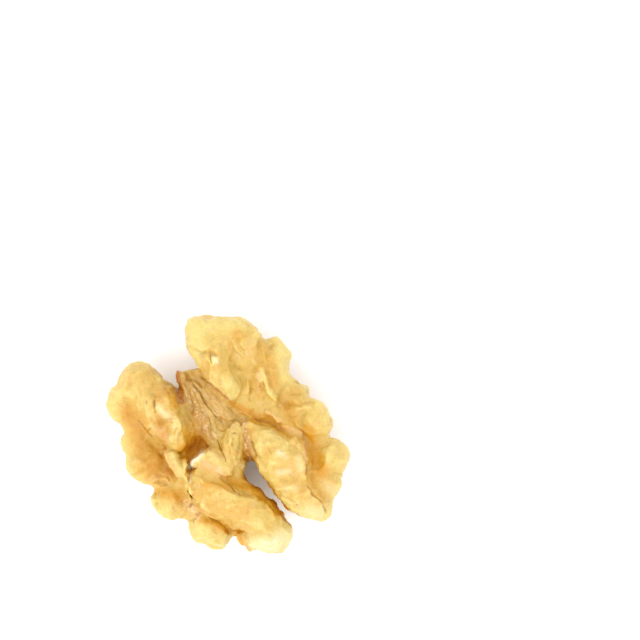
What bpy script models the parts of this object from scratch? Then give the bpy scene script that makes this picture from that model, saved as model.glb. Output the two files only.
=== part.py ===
"""Half a walnut kernel, lying on its dome with the inner face up.

The kernel grew as one piece, so it is one solid. It is built the way clay is laid up:
fat folds, each a bevelled curve with round ends, overlap to make the two wings, the
bridge between them and the folded dome underneath. A voxel remesh grows them together,
and shallow strokes then press the creases and raise the thin ridges.

Every fold and stroke is laid out on a sketch page seen from above, in millimetres, with
the height above the resting surface as the third number. The page is then turned, so
that the nut's own axis runs along Y.
"""

import math

import bmesh
import bpy
import numpy as np
from mathutils import Matrix, Vector, noise
from mathutils.geometry import intersect_point_tri

MM = 0.001

# Driving dimensions, in metres.
REST_DEPTH = 0.00025        # how far the three lowest bumps are worn flat
VOXEL = 0.00025             # size of the grid that grows the folds together
SMOOTH_PASSES = 8
WARPS = [(0.0060, 0.0007), (0.0026, 0.0006), (0.0011, 0.00015)]
FACE_CALM = 0.35            # how much less the inner face is bent than the dome
DOME_TOP = 0.0055           # heights between which the dome gives way to the face
FACE_LOW = 0.0080
DOME_CELL = 0.0055
DOME_CREASE = 0.0007
SEED = 5                    # picks one pattern of small bends and creases
FACES = 11400               # triangles that the finished solid is made of

# The nut's axis on the sketch page runs up and to the left; this turn puts it on Y.
TURN = math.radians(-40)
STEP = 0.5                  # spacing of the points along a fold, in mm
CAP_STEPS = 4
PELLICLE = (0.80, 0.56, 0.24, 1.0)

# Inner masses: these fill the two wings and the bridge between them.
CORES = {
    "wing_right": [(-1.8, 11.8, 7.6, 2.5), (0.8, 9.8, 6.0, 2.8), (4.4, 7.0, 5.4, 2.8),
                   (8.0, 2.4, 5.2, 2.8), (9.8, -2.6, 5.6, 2.8), (10.6, -7.6, 7.0, 2.6)],
    "wing_left": [(-11.2, 6.6, 7.6, 2.6), (-10.4, 2.2, 5.8, 2.8), (-9.0, -2.4, 5.4, 2.8),
                  (-6.0, -6.6, 5.6, 2.8), (-1.6, -9.6, 6.4, 3.0), (3.6, -12.0, 7.4, 2.8)],
    "bridge": [(-7.4, 1.6, 5.2, 2.6), (-2.6, 2.4, 5.0, 2.8), (1.0, 1.6, 5.2, 2.8),
               (5.8, 2.4, 5.2, 2.6)],
    "web_right": [(3.2, 11.4, 8.4, 2.3), (6.2, 8.4, 7.6, 2.2), (8.4, 5.2, 6.8, 2.1),
                  (11.0, 1.6, 7.2, 2.3), (12.0, -1.0, 7.3, 2.1), (13.0, -4.6, 7.6, 2.4),
                  (12.4, -8.2, 7.6, 2.2)],
    "web_left": [(-13.0, 5.6, 8.4, 2.4), (-12.4, 1.4, 7.6, 2.4), (-11.2, -2.8, 7.2, 2.4),
                 (-8.4, -6.4, 7.0, 2.3), (-5.0, -10.0, 6.8, 2.2), (0.0, -12.1, 6.8, 2.1),
                 (3.6, -13.6, 7.2, 2.0)],
    "saddle": [(0.4, 4.6, 7.2, 1.8), (3.2, 3.4, 7.5, 2.0), (6.0, 1.8, 7.6, 1.8)],
    "saddle_low": [(1.6, 0.6, 7.2, 1.9), (4.4, 0.6, 7.2, 2.0), (7.2, 0.2, 7.0, 2.0)],
    "lobe_root": [(1.4, 0.0, 8.4, 1.7), (2.4, -1.6, 8.4, 1.8), (2.6, -3.0, 7.2, 1.3),
                  (4.4, -2.2, 7.2, 1.8)],
    "web_upper": [(1.2, 12.2, 8.9, 1.9), (2.0, 10.2, 8.6, 2.0), (3.2, 7.6, 7.9, 1.9), (4.2, 4.8, 7.7, 1.9)],
    "tongue_bed": [(-5.6, 7.2, 7.0, 1.0), (-4.2, 5.2, 7.0, 1.9), (-2.6, 2.8, 6.9, 2.2),
                   (-1.0, 0.4, 7.0, 2.4)],
    "bowl": [(10.7, -1.8, 8.0, 1.5), (11.0, -3.8, 8.1, 1.5), (11.1, -5.6, 8.3, 1.4)],
    "inner_frill": [(-7.2, -2.6, 7.2, 1.3), (-6.8, -4.2, 7.6, 1.5), (-6.0, -6.0, 7.5, 1.5),
                    (-5.4, -8.0, 7.2, 1.5)],
    "bridge_low": [(-7.4, -1.2, 5.2, 2.6), (-2.6, -0.8, 4.8, 2.8), (0.6, -1.6, 6.2, 2.4),
                   (-3.6, -4.4, 6.6, 2.6)],
}

# One fold for each scallop of the frill: it starts in the valley on the inner face, rolls
# over the rim, and runs down the dome to the groove along its middle.
SCALLOPS = {
    "crown_left": [(-2.9, 13.1, 9.0, 2.8), (-2.1, 11.2, 6.6, 2.4), (-1.5, 8.4, 4.4, 2.4),
                   (-2.6, 4.8, 3.2, 2.3), (-4.0, 2.4, 3.0, 2.0)],
    "crown_right": [(1.4, 10.4, 7.6, 1.9), (1.9, 13.5, 8.6, 2.5), (2.0, 11.8, 6.2, 2.4),
                    (1.0, 8.4, 4.0, 2.4), (-0.6, 4.8, 2.8, 2.3), (-2.0, 2.4, 2.6, 1.9)],
    "shoulder": [(4.2, 9.0, 7.4, 2.0), (6.2, 10.7, 8.0, 2.4), (6.2, 9.2, 5.4, 2.4),
                 (4.2, 6.6, 3.4, 2.4), (1.8, 3.6, 2.5, 2.2), (0.0, 1.4, 2.4, 1.9)],
    "shoulder_low": [(5.8, 7.8, 7.6, 1.7), (6.9, 8.8, 7.8, 1.8), (7.0, 7.2, 5.0, 1.9),
                     (5.8, 5.4, 3.6, 1.6)],
    "tuck": [(7.8, 4.6, 6.8, 1.7), (9.3, 4.9, 7.0, 1.9), (8.6, 4.4, 4.2, 2.0),
             (6.2, 2.8, 2.8, 2.2), (3.4, 0.8, 2.3, 2.2), (1.6, -0.4, 2.4, 1.8)],
    "side": [(9.4, 2.2, 7.2, 1.9), (12.3, 1.9, 7.8, 2.4), (11.2, 1.4, 5.0, 2.3),
             (8.2, -0.2, 3.0, 2.4), (4.8, -1.6, 2.4, 2.2)],
    "side_top": [(10.0, 3.0, 7.4, 1.6), (11.3, 3.0, 7.6, 1.6), (10.8, 2.7, 5.8, 1.5)],
    "hip": [(11.6, -2.4, 7.2, 2.0), (14.1, -3.4, 8.0, 2.6), (12.9, -3.2, 5.4, 2.4),
            (9.8, -3.4, 3.4, 2.4), (6.4, -3.6, 2.9, 2.0)],
    "hip_low": [(12.0, -6.0, 7.4, 1.8), (13.4, -6.9, 7.8, 2.3), (12.2, -6.4, 5.4, 2.2),
                (9.8, -5.8, 4.0, 2.2), (7.6, -5.2, 3.8, 1.8)],
    "heel": [(12.3, -10.2, 8.0, 2.1), (11.2, -9.2, 6.0, 2.1), (9.4, -7.6, 5.2, 2.0)],
    "left_end": [(-12.3, 7.7, 8.8, 2.5), (-11.8, 6.6, 6.0, 2.3), (-9.8, 4.6, 4.2, 2.3),
                 (-6.8, 3.0, 3.2, 2.1)],
    "left_upper": [(-12.8, 2.8, 8.0, 2.0), (-14.1, 3.8, 8.4, 2.5), (-13.4, 3.4, 5.6, 2.3),
                   (-10.8, 1.6, 3.6, 2.4), (-7.4, 0.4, 2.6, 2.2), (-4.8, -0.2, 2.5, 1.8)],
    "left_mid": [(-10.8, -0.4, 7.2, 1.9), (-12.8, -1.1, 7.4, 2.1), (-11.8, -1.2, 4.8, 2.2),
                 (-9.0, -1.8, 3.0, 2.4), (-5.4, -2.2, 2.4, 2.1)],
    "left_low": [(-9.2, -3.2, 7.2, 2.1), (-11.5, -4.4, 7.6, 2.6), (-10.2, -4.4, 4.9, 2.3),
                 (-7.4, -4.2, 3.0, 2.4), (-3.8, -3.8, 2.4, 2.1), (-1.6, -2.4, 2.4, 1.8)],
    "lower_left": [(-6.0, -7.2, 7.2, 2.1), (-8.2, -9.2, 7.0, 2.4), (-6.8, -8.6, 4.8, 2.4),
                   (-4.6, -6.8, 3.2, 2.3), (-1.8, -5.2, 2.8, 2.0), (0.4, -3.6, 3.0, 1.7)],
    "lower_fold": [(-6.8, -9.8, 6.8, 2.2), (-5.4, -9.6, 6.0, 2.2)],
    "lower": [(-2.1, -10.8, 7.0, 2.1), (-2.5, -12.6, 6.8, 3.05), (-2.1, -11.2, 4.8, 2.4),
              (-1.2, -8.8, 3.6, 2.2), (0.6, -6.8, 3.6, 1.9)],
    "lower_small": [(2.4, -12.6, 7.2, 1.5), (3.3, -14.0, 7.2, 2.0), (2.6, -12.6, 5.0, 2.1),
                    (2.4, -10.2, 4.2, 2.0), (3.0, -8.4, 4.4, 1.6)],
    "lower_tip": [(6.0, -13.6, 8.8, 2.5), (5.4, -12.2, 6.8, 2.3), (4.6, -10.4, 5.6, 1.9)],
}

# The raised parts of the inner face.
FACE_FOLDS = {
    "top_lobe": [(-2.5, 12.6, 9.4, 2.8), (-1.6, 10.2, 9.6, 2.6), (-0.6, 7.8, 9.4, 2.5),
                 (0.7, 5.8, 9.2, 1.6)],
    "crown": [(-3.0, 13.4, 9.6, 2.5), (-0.6, 13.7, 9.4, 2.4), (1.8, 13.3, 9.0, 2.4)],
    "left_lobe": [(-12.2, 7.4, 9.2, 2.6), (-11.2, 5.4, 9.4, 3.0), (-9.6, 3.0, 9.5, 3.0),
                  (-8.5, 0.7, 9.3, 2.5), (-7.6, -1.2, 8.9, 1.7)],
    "left_shelf": [(-13.6, 5.2, 8.8, 2.3), (-12.4, 3.0, 8.6, 2.2), (-10.8, 1.0, 8.0, 1.9)],
    "right_lobe": [(3.4, 0.4, 9.8, 1.4), (5.9, -1.8, 9.9, 2.5), (7.6, -4.4, 9.9, 3.0),
                   (9.2, -7.2, 9.6, 2.5), (11.4, -9.7, 9.2, 2.1)],
    "bottom_lobe": [(-2.6, -6.4, 9.2, 2.4), (-0.4, -8.6, 9.6, 2.8), (3.0, -10.6, 9.7, 3.0),
                    (5.6, -13.2, 9.3, 2.8)],
    "bottom_edge": [(-4.0, -4.6, 10.0, 1.1), (-4.2, -6.2, 9.8, 1.2), (-3.5, -8.4, 9.8, 1.3),
                    (-2.2, -10.2, 9.8, 1.2), (-0.2, -11.4, 9.6, 1.2), (1.6, -12.2, 9.4, 1.3),
                    (3.4, -13.4, 9.0, 1.9)],
    "bottom_sheet": [(-2.6, -5.4, 9.4, 1.8), (-2.0, -8.0, 9.6, 2.2), (0.4, -10.0, 9.7, 2.2)],
    "flank": [(-0.8, -5.2, 8.1, 2.3), (1.2, -7.4, 8.8, 2.0), (3.7, -9.3, 9.2, 2.0),
              (5.6, -11.6, 9.2, 1.9)],
    "plate": [(-3.8, -4.0, 10.2, 1.2), (-2.4, -3.2, 10.4, 1.6), (-0.4, -3.4, 10.4, 1.9),
              (1.1, -4.0, 9.4, 1.8)],
    "plate_low": [(-2.8, -4.6, 10.0, 1.5), (-0.6, -5.0, 9.8, 1.6), (0.8, -5.0, 9.0, 1.4)],
    "knob": [(0.9, 0.7, 10.2, 1.2), (0.7, -0.9, 10.5, 1.4), (0.8, -2.8, 10.4, 1.8)],
    "knob_side": [(-0.9, -0.4, 9.4, 0.9), (-1.1, -2.0, 9.9, 1.2)],
    "tongue": [(-7.1, 8.4, 8.6, 0.4), (-5.8, 6.2, 8.2, 1.2), (-4.4, 3.4, 8.0, 1.6),
               (-2.9, 0.6, 8.2, 1.7), (-1.9, -1.2, 8.6, 1.3)],
    "tongue_right": [(-4.8, 8.0, 7.4, 0.8), (-2.7, 5.5, 7.8, 1.4), (-0.9, 3.5, 8.1, 1.5),
                     (1.0, 1.8, 8.4, 1.1)],
    "tongue_left": [(-6.5, 5.2, 7.4, 1.0), (-5.7, 2.8, 7.8, 1.2), (-4.9, 0.8, 7.9, 1.2)],
    "tongue_web": [(-6.2, 8.1, 7.9, 0.5), (-5.2, 7.9, 7.7, 0.8), (-4.2, 8.0, 7.9, 0.8),
                   (-3.4, 8.0, 8.2, 0.8)],
    "lobe_corner": [(6.4, -0.4, 9.2, 1.3), (8.2, -1.3, 9.5, 1.4), (9.5, -2.6, 9.6, 1.3),
                    (9.8, -4.2, 9.5, 1.3), (10.0, -6.0, 9.3, 1.3)],
    "ridge_end": [(8.4, 0.2, 8.2, 0.9), (9.4, -0.6, 8.4, 1.0), (10.0, -1.5, 8.5, 1.0)],
    "sharp_ridge": [(4.3, 9.2, 9.5, 0.8), (5.3, 7.0, 9.6, 0.9), (6.7, 4.6, 9.1, 0.7)],
    "middle_ridge": [(4.2, 5.4, 8.2, 1.2), (6.6, 3.6, 8.6, 1.3), (7.8, 1.6, 8.6, 1.2),
                     (9.4, -0.2, 8.2, 0.9)],
    "thin_ridge": [(3.1, 8.2, 9.2, 0.7), (2.8, 5.0, 9.0, 0.8)],
    "low_ridge": [(-8.7, -1.9, 8.9, 0.8), (-7.8, -4.0, 8.9, 1.0), (-6.4, -6.4, 8.6, 0.9)],
    "left_flank": [(-7.1, 3.9, 8.4, 1.2), (-6.6, 2.4, 8.6, 1.4), (-6.3, 0.8, 8.4, 1.3),
                   (-6.0, -0.9, 7.7, 1.1)],
    "tongue_floor": [(-5.3, 7.5, 7.8, 0.7), (-4.2, 5.6, 8.0, 0.9), (-3.0, 3.6, 8.2, 0.9),
                     (-1.8, 2.0, 8.4, 0.9)],
    "lower_strip": [(1.4, -13.2, 6.6, 1.0), (1.9, -14.3, 6.6, 0.9), (2.6, -15.0, 6.8, 0.8)],
}


# Creases pressed into the inner face, and thin ridges that stand on it: how far each
# goes in or out, its width, and its line on the page.
CREASES = {
    "tongue_middle": (0.25, 0.35, [(-5.8, 8.2), (-3.9, 5.1), (-2.4, 2.9), (-1.2, 1.3)]),
    "tongue_left": (0.25, 0.35, [(-6.5, 7.2), (-5.6, 4.6), (-4.4, 1.6), (-3.4, -0.8)]),
    "tongue_right": (0.30, 0.35, [(-3.7, 8.0), (-2.2, 6.2), (-0.7, 4.8), (1.0, 3.3), (2.4, 2.0)]),
    "knob_left": (0.40, 0.40, [(-1.2, -0.4), (-0.9, -2.0), (-0.3, -3.8)]),
    "knob_right": (0.50, 0.45, [(2.0, 2.0), (2.4, 0.0), (2.9, -2.0), (3.3, -3.8)]),
    "bottom_valley": (0.35, 0.60, [(-3.8, -5.4), (-1.2, -6.3), (1.4, -7.5), (3.4, -7.9)]),
    "top_dimple": (0.40, 0.45, [(-4.4, 10.7), (-3.0, 11.3), (-1.4, 10.8)]),
    "left_valley": (0.35, 0.80, [(-13.0, 3.4), (-11.4, 0.8), (-9.8, -1.2), (-8.6, -2.4)]),
    "right_valley": (0.40, 0.50, [(2.6, 2.8), (4.6, 2.0), (6.4, 1.4), (8.8, -0.6)]),
    "upper_valley": (0.25, 0.50, [(0.2, 11.4), (1.0, 9.4), (2.3, 8.6), (2.3, 6.4)]),
}
RIDGES = {
    "tongue_spine": (0.35, 0.35, [(-7.0, 8.4), (-5.4, 5.8), (-3.9, 2.6), (-2.4, -0.4)]),
    "tongue_ribs": (0.30, 0.35, [(-4.4, 7.8), (-2.7, 5.4), (-1.0, 3.2), (0.8, 1.6)]),
    "sharp_ridge": (0.45, 0.40, [(4.2, 9.6), (5.3, 7.1), (6.6, 4.6)]),
    "low_ridge": (0.45, 0.40, [(-8.8, -1.8), (-7.9, -3.8), (-6.3, -6.4)]),
}


def smooth_path(points, step):
    """Points of a Catmull-Rom curve through the given ones, about step apart."""
    knots = [np.array(p, float) for p in points]
    ends = [2 * knots[0] - knots[1], *knots, 2 * knots[-1] - knots[-2]]
    path = []
    for before, start, end, after in zip(ends, ends[1:], ends[2:], ends[3:]):
        count = max(2, round(np.linalg.norm((end - start)[:3]) / step))
        for t in np.arange(count) / count:
            path.append(0.5 * (2 * start + (end - before) * t
                               + (2 * before - 5 * start + 4 * end - after) * t ** 2
                               + (3 * start - before - 3 * end + after) * t ** 3))
    return np.array([*path, knots[-1]])


def rounded(path):
    """The path with a half-round cap added at each end."""
    caps = []
    for end, inner in ((path[0], path[1]), (path[-1], path[-2])):
        out = (end - inner)[:3] / np.linalg.norm((end - inner)[:3])
        cap = []
        for i in range(1, CAP_STEPS + 1):
            angle = math.radians(86) * i / CAP_STEPS
            place = end[:3] + out * end[3] * math.sin(angle)
            cap.append([*place, end[3] * math.cos(angle)])
        caps.append(cap)
    return np.array([*caps[0][::-1], *path, *caps[1]])


def fold_mesh(name, points):
    """A fold as a mesh: a bevelled curve that swells and thins with its radius."""
    path = rounded(smooth_path(points, STEP)) * MM
    curve = bpy.data.curves.new(name, "CURVE")
    curve.dimensions = "3D"
    curve.bevel_depth = 1.0
    curve.bevel_resolution = 4
    curve.use_fill_caps = True
    spline = curve.splines.new("POLY")
    spline.points.add(len(path) - 1)
    for point, (x, y, z, radius) in zip(spline.points, path):
        point.co = (x, y, z, 1.0)
        point.radius = radius
    guide = bpy.data.objects.new(name, curve)
    bpy.context.scene.collection.objects.link(guide)
    graph = bpy.context.evaluated_depsgraph_get()
    mesh = bpy.data.meshes.new_from_object(guide.evaluated_get(graph))
    bpy.data.objects.remove(guide)
    return mesh


def clear_scene():
    for obj in list(bpy.data.objects):
        bpy.data.objects.remove(obj)


def joined_folds(name):
    """All the folds in one object, still overlapping."""
    joined = bmesh.new()
    for group in (CORES, SCALLOPS, FACE_FOLDS):
        for fold_name, points in group.items():
            mesh = fold_mesh(fold_name, points)
            joined.from_mesh(mesh)
            bpy.data.meshes.remove(mesh)
    bmesh.ops.remove_doubles(joined, verts=joined.verts, dist=0.000002)
    mesh = bpy.data.meshes.new(name)
    joined.to_mesh(mesh)
    joined.free()
    obj = bpy.data.objects.new(name, mesh)
    bpy.context.scene.collection.objects.link(obj)
    return obj


def apply_modifiers(obj):
    """Makes the mesh that the modifiers give the object's own."""
    graph = bpy.context.evaluated_depsgraph_get()
    mesh = bpy.data.meshes.new_from_object(obj.evaluated_get(graph))
    obj.modifiers.clear()
    obj.data = mesh


def drop_bubbles(mesh):
    """Keeps the outer skin only: folds that don't quite touch leave small hollows inside."""
    solid = bmesh.new()
    solid.from_mesh(mesh)
    left = set(solid.verts)
    shells = []
    while left:
        shell = [left.pop()]
        for vertex in shell:
            for edge in vertex.link_edges:
                other = edge.other_vert(vertex)
                if other in left:
                    left.remove(other)
                    shell.append(other)
        shells.append(shell)
    bubbles = [vertex for shell in sorted(shells, key=len)[:-1] for vertex in shell]
    bmesh.ops.delete(solid, geom=bubbles, context="VERTS")
    solid.to_mesh(mesh)
    solid.free()


def places_of(mesh):
    """The mesh's points as rows of an array."""
    places = np.empty(len(mesh.vertices) * 3)
    mesh.vertices.foreach_get("co", places)
    return places.reshape(-1, 3)


def normals_of(mesh):
    """The direction that the surface faces at each of the mesh's points."""
    normals = np.empty(len(mesh.vertices) * 3)
    mesh.vertices.foreach_get("normal", normals)
    return normals.reshape(-1, 3)


def move_points(mesh, places):
    mesh.vertices.foreach_set("co", places.ravel())
    mesh.update()


def smoothstep(low, high, values):
    share = np.clip((values - low) / (high - low), 0.0, 1.0)
    return share * share * (3.0 - 2.0 * share)


def drift(places, size):
    """A smooth pseudo-random vector at each place, that changes over about the size."""
    return np.array([noise.noise_vector(Vector(place) / size) for place in places])


def crumple_dome(mesh):
    """Presses the short creases that break up the folds of the dome."""
    places = places_of(mesh)
    normals = normals_of(mesh)
    below = smoothstep(FACE_LOW, DOME_TOP, places[:, 2]) * smoothstep(0.6, 0.0, normals[:, 2])
    bent = (places + drift(places, 0.0040) * 0.0016) * (1 / DOME_CELL)
    gaps = np.empty(len(bent))
    for i, place in enumerate(bent):
        near, second = noise.voronoi(Vector(place))[0][:2]
        gaps[i] = second - near
    crease = np.exp(-(gaps / 0.16) ** 2)
    move_points(mesh, places - normals * (DOME_CREASE * crease * below)[:, None])


def warp(mesh):
    """Bends the folds a little, as growth does, so that no two are alike."""
    places = places_of(mesh)
    calm = 1.0 - FACE_CALM * smoothstep(DOME_TOP, FACE_LOW, places[:, 2])
    moved = sum(drift(places, size) * amount for size, amount in WARPS)
    move_points(mesh, places + moved * calm[:, None])


def press_strokes(mesh):
    """Presses the creases into the inner face and raises its thin ridges."""
    places = places_of(mesh)
    normals = normals_of(mesh)
    on_face = np.clip(normals[:, 2] * 2.5, 0, 1) * (places[:, 2] > DOME_TOP)
    moved = np.zeros(len(places))
    for sign, strokes in ((-1, CREASES), (1, RIDGES)):
        for depth, width, points in strokes.values():
            line = smooth_path(points, 0.15) * MM
            share = np.linspace(0, 1, len(line))
            taper = np.clip(np.minimum(share, 1 - share) * 5, 0, 1) ** 0.5
            gaps = np.hypot(places[:, None, 0] - line[None, :, 0],
                            places[:, None, 1] - line[None, :, 1])
            nearest = gaps.argmin(1)
            gap = gaps[np.arange(len(places)), nearest]
            moved += sign * depth * MM * taper[nearest] * np.exp(-(gap / (width * MM)) ** 2)
    move_points(mesh, places + normals * (moved * on_face)[:, None])


def add_remesh(obj, voxel, passes):
    """Two modifiers: a voxel remesh, then a softening of its steps."""
    remesh = obj.modifiers.new("remesh", "REMESH")
    remesh.mode = "VOXEL"
    remesh.voxel_size = voxel
    soften = obj.modifiers.new("soften", "SMOOTH")
    soften.factor = 0.5
    soften.iterations = passes


def balance_point(mesh):
    """Where the weight of the closed solid balances."""
    mesh.calc_loop_triangles()
    corners = np.array([[mesh.vertices[i].co for i in face.vertices]
                        for face in mesh.loop_triangles])
    volumes = np.einsum("ij,ij->i", corners[:, 0], np.cross(corners[:, 1], corners[:, 2]))
    return Vector((corners.sum(1) * volumes[:, None]).sum(0) / (4 * volumes.sum()))


def stand_up(mesh):
    """Leans the solid until it stands on the three low bumps round its balance point."""
    balance = balance_point(mesh)
    hull = bmesh.new()
    for vertex in mesh.vertices:
        hull.verts.new(vertex.co)
    bmesh.ops.convex_hull(hull, input=hull.verts)
    bmesh.ops.triangulate(hull, faces=hull.faces)
    hull.normal_update()
    under = [face.normal.copy() for face in hull.faces
             if intersect_point_tri(balance, *[v.co for v in face.verts])]
    hull.free()
    down = min(under, key=lambda normal: normal.z)
    lean = down.rotation_difference(Vector((0, 0, -1)))
    mesh.transform(lean.to_matrix().to_4x4())


def thin_out(obj):
    """Reduces the mesh to the number of faces wanted."""
    decimate = obj.modifiers.new("thin out", "DECIMATE")
    decimate.ratio = FACES / (2 * len(obj.data.polygons))
    apply_modifiers(obj)


def wear_flat(mesh):
    """Cuts the three lowest bumps off level, so that the kernel stands on real flats."""
    level = places_of(mesh)[:, 2].min() + REST_DEPTH
    solid = bmesh.new()
    solid.from_mesh(mesh)
    bmesh.ops.bisect_plane(solid, geom=[*solid.verts, *solid.edges, *solid.faces],
                           plane_co=(0, 0, level), plane_no=(0, 0, -1), clear_outer=True)
    rims = [edge for edge in solid.edges if edge.is_boundary]
    bmesh.ops.holes_fill(solid, edges=rims)
    bmesh.ops.recalc_face_normals(solid, faces=solid.faces)
    bmesh.ops.triangulate(solid, faces=solid.faces)
    solid.to_mesh(mesh)
    solid.free()


def centre_on_rest(mesh):
    """Puts the middle of the footprint at the origin and the flats on the floor."""
    places = places_of(mesh)
    low, high = places.min(0), places.max(0)
    mesh.transform(Matrix.Translation((-(low[0] + high[0]) / 2, -(low[1] + high[1]) / 2, -low[2])))


def pellicle():
    """The thin golden skin of the kernel."""
    skin = bpy.data.materials.new("pellicle")
    skin.use_nodes = True
    shader = skin.node_tree.nodes["Principled BSDF"]
    shader.inputs["Base Color"].default_value = PELLICLE
    shader.inputs["Roughness"].default_value = 0.5
    shader.inputs["Metallic"].default_value = 0.0
    return skin


def collect(kernel):
    """Moves the kernel to a collection of its own."""
    half = bpy.data.collections.new("walnut_kernel_half")
    bpy.context.scene.collection.children.link(half)
    bpy.context.scene.collection.objects.unlink(kernel)
    half.objects.link(kernel)


def main():
    clear_scene()
    noise.seed_set(SEED)
    kernel = joined_folds("kernel")
    add_remesh(kernel, VOXEL, SMOOTH_PASSES)
    apply_modifiers(kernel)
    drop_bubbles(kernel.data)
    crumple_dome(kernel.data)
    warp(kernel.data)
    press_strokes(kernel.data)
    add_remesh(kernel, VOXEL, 2)
    apply_modifiers(kernel)
    drop_bubbles(kernel.data)
    kernel.data.transform(Matrix.Rotation(TURN, 4, "Z"))
    stand_up(kernel.data)
    thin_out(kernel)
    wear_flat(kernel.data)
    centre_on_rest(kernel.data)
    kernel.data.shade_smooth()
    kernel.data.materials.append(pellicle())
    collect(kernel)


main()
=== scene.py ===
"""Half of a shelled walnut kernel, lying on its dome on a pale floor and seen from above.

The solid part gives the kernel's form. Here it gets the finer surface: it is rebuilt as a
dense mesh, and creases, thin ridges, cracks, chips and wrinkles are worked into it the way
a carver would, each along a line drawn on a sketch page. The page looks straight down on
the kernel; its lengths are millimetres. The same page carries the tints of the skin, and
among them painted light and shade.
"""

from __future__ import annotations

import logging
import math
from dataclasses import dataclass, field
from enum import Enum
from functools import partial

import bmesh
import bpy
import numpy as np
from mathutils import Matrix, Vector, noise
from mathutils.bvhtree import BVHTree

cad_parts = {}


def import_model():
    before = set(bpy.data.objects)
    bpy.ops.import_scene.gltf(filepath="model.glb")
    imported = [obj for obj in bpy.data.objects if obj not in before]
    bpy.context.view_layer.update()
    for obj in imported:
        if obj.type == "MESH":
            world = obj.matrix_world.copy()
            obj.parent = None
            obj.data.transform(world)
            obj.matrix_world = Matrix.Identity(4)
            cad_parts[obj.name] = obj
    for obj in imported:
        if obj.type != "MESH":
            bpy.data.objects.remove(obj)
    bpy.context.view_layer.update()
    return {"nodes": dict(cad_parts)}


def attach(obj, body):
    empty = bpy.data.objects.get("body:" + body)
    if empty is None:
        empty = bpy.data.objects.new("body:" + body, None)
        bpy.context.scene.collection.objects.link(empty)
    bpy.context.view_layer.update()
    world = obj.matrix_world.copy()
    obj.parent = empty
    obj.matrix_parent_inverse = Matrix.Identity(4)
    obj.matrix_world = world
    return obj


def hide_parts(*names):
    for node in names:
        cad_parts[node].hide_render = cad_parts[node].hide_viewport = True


MM = 0.001
PATTERN = 5                 # picks one pattern of small bends and dents

Point = tuple[float, float]
Line = tuple[Point, ...]
Nudge = tuple[Point, Point]
Colour = tuple[float, float, float, float]

log = logging.getLogger("walnut")


class Mark(Enum):
    """How a stroke works the surface."""

    CREASE = "a soft valley"
    CRACK = "a thin dark split"
    RIDGE = "a raised line"
    EDGE = "a step down on the right-hand side of the line"
    LIFT = "a broad rise or, with a depth below zero, a broad dip"


class Tint(Enum):
    """The tints that are laid over the skin's own colour; amber and umber are partly painted shade, pale
    partly painted light, and the flesh tint also paints highlights.
    """

    AMBER = 0
    UMBER = 1
    FLESH = 2
    BLUSH = 3
    PALE = 4
    FIBRE = 5
    CRUMB = 6


def paired(numbers: tuple[float, ...]) -> Line:
    """Makes points of numbers that give x and y in turn."""
    return tuple(zip(numbers[::2], numbers[1::2]))


@dataclass(frozen=True)
class Stroke:
    """One carved line on the inner face.

    Attributes:
        mark: How the line works the surface.
        depth: How far the surface moves, in mm.
        width: Half the width of the line, in mm.
        line: The points of the line on the sketch page.
    """

    mark: Mark
    depth: float
    width: float
    line: Line

    @classmethod
    def along(cls, mark: Mark, depth: float, width: float, *numbers: float) -> Stroke:
        """Makes a stroke along points that are given as x and y in turn."""
        return cls(mark, depth, width, paired(numbers))


@dataclass(frozen=True)
class Wash:
    """One tinted patch of the skin.

    Attributes:
        tint: Which tint is laid on.
        strength: How much of it, from 0 to 1.
        width: How far it reaches to each side of its line, in mm.
        line: The points of its line on the sketch page.
    """

    tint: Tint
    strength: float
    width: float
    line: Line

    @classmethod
    def along(cls, tint: Tint, strength: float, width: float, *numbers: float) -> Wash:
        """Makes a patch along points that are given as x and y in turn."""
        return cls(tint, strength, width, paired(numbers))


crease, crack, ridge, edge, lift = (partial(Stroke.along, mark) for mark in Mark)
amber, umber, flesh, blush, pale, fibre, crumb = (partial(Wash.along, tint) for tint in Tint)


@dataclass(frozen=True)
class SketchPage:
    """The page that the lines are drawn on, seen from straight above the kernel.

    Attributes:
        turn: How far the page is turned about the vertical, in degrees.
        shift: Where the page's zero point lies in the frame, in mm.
    """

    turn: float = -40.0
    shift: tuple[float, float] = (0.21, 0.79)

    def turned(self, x: np.ndarray | float, y: np.ndarray | float) -> tuple:
        """Turns a step on the page into one in the frame.

        Args:
            x: How far it goes to the right on the page.
            y: How far it goes up the page.

        Returns:
            How far it goes along X and Y.
        """
        cos, sin = math.cos(math.radians(self.turn)), math.sin(math.radians(self.turn))
        return x * cos - y * sin, x * sin + y * cos

    def to_frame(self, x: float, y: float) -> tuple[float, float]:
        """Turns a point of the page into a place in the frame.

        Args:
            x: To the right on the page, in mm.
            y: Up the page, in mm.

        Returns:
            The place along X and Y, in metres.
        """
        east, north = self.turned(x, y)
        return (east + self.shift[0]) * MM, (north + self.shift[1]) * MM

    def from_frame(self, places: np.ndarray) -> np.ndarray:
        """Finds where places in the frame lie on the page.

        Args:
            places: Rows of X, Y and Z in metres.

        Returns:
            Rows of page x and y in mm.
        """
        cos, sin = math.cos(math.radians(self.turn)), math.sin(math.radians(self.turn))
        east = places[:, 0] / MM - self.shift[0]
        north = places[:, 1] / MM - self.shift[1]
        return np.column_stack((east * cos + north * sin, north * cos - east * sin))


def smoothstep(low: float, high: float, values: np.ndarray) -> np.ndarray:
    """Eases from 0 at low to 1 at high.

    Args:
        low: The value that gives 0.
        high: The value that gives 1. It may be below low.
        values: The values to ease.

    Returns:
        The eased shares.
    """
    share = np.clip((values - low) / (high - low), 0.0, 1.0)
    return share * share * (3.0 - 2.0 * share)


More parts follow.
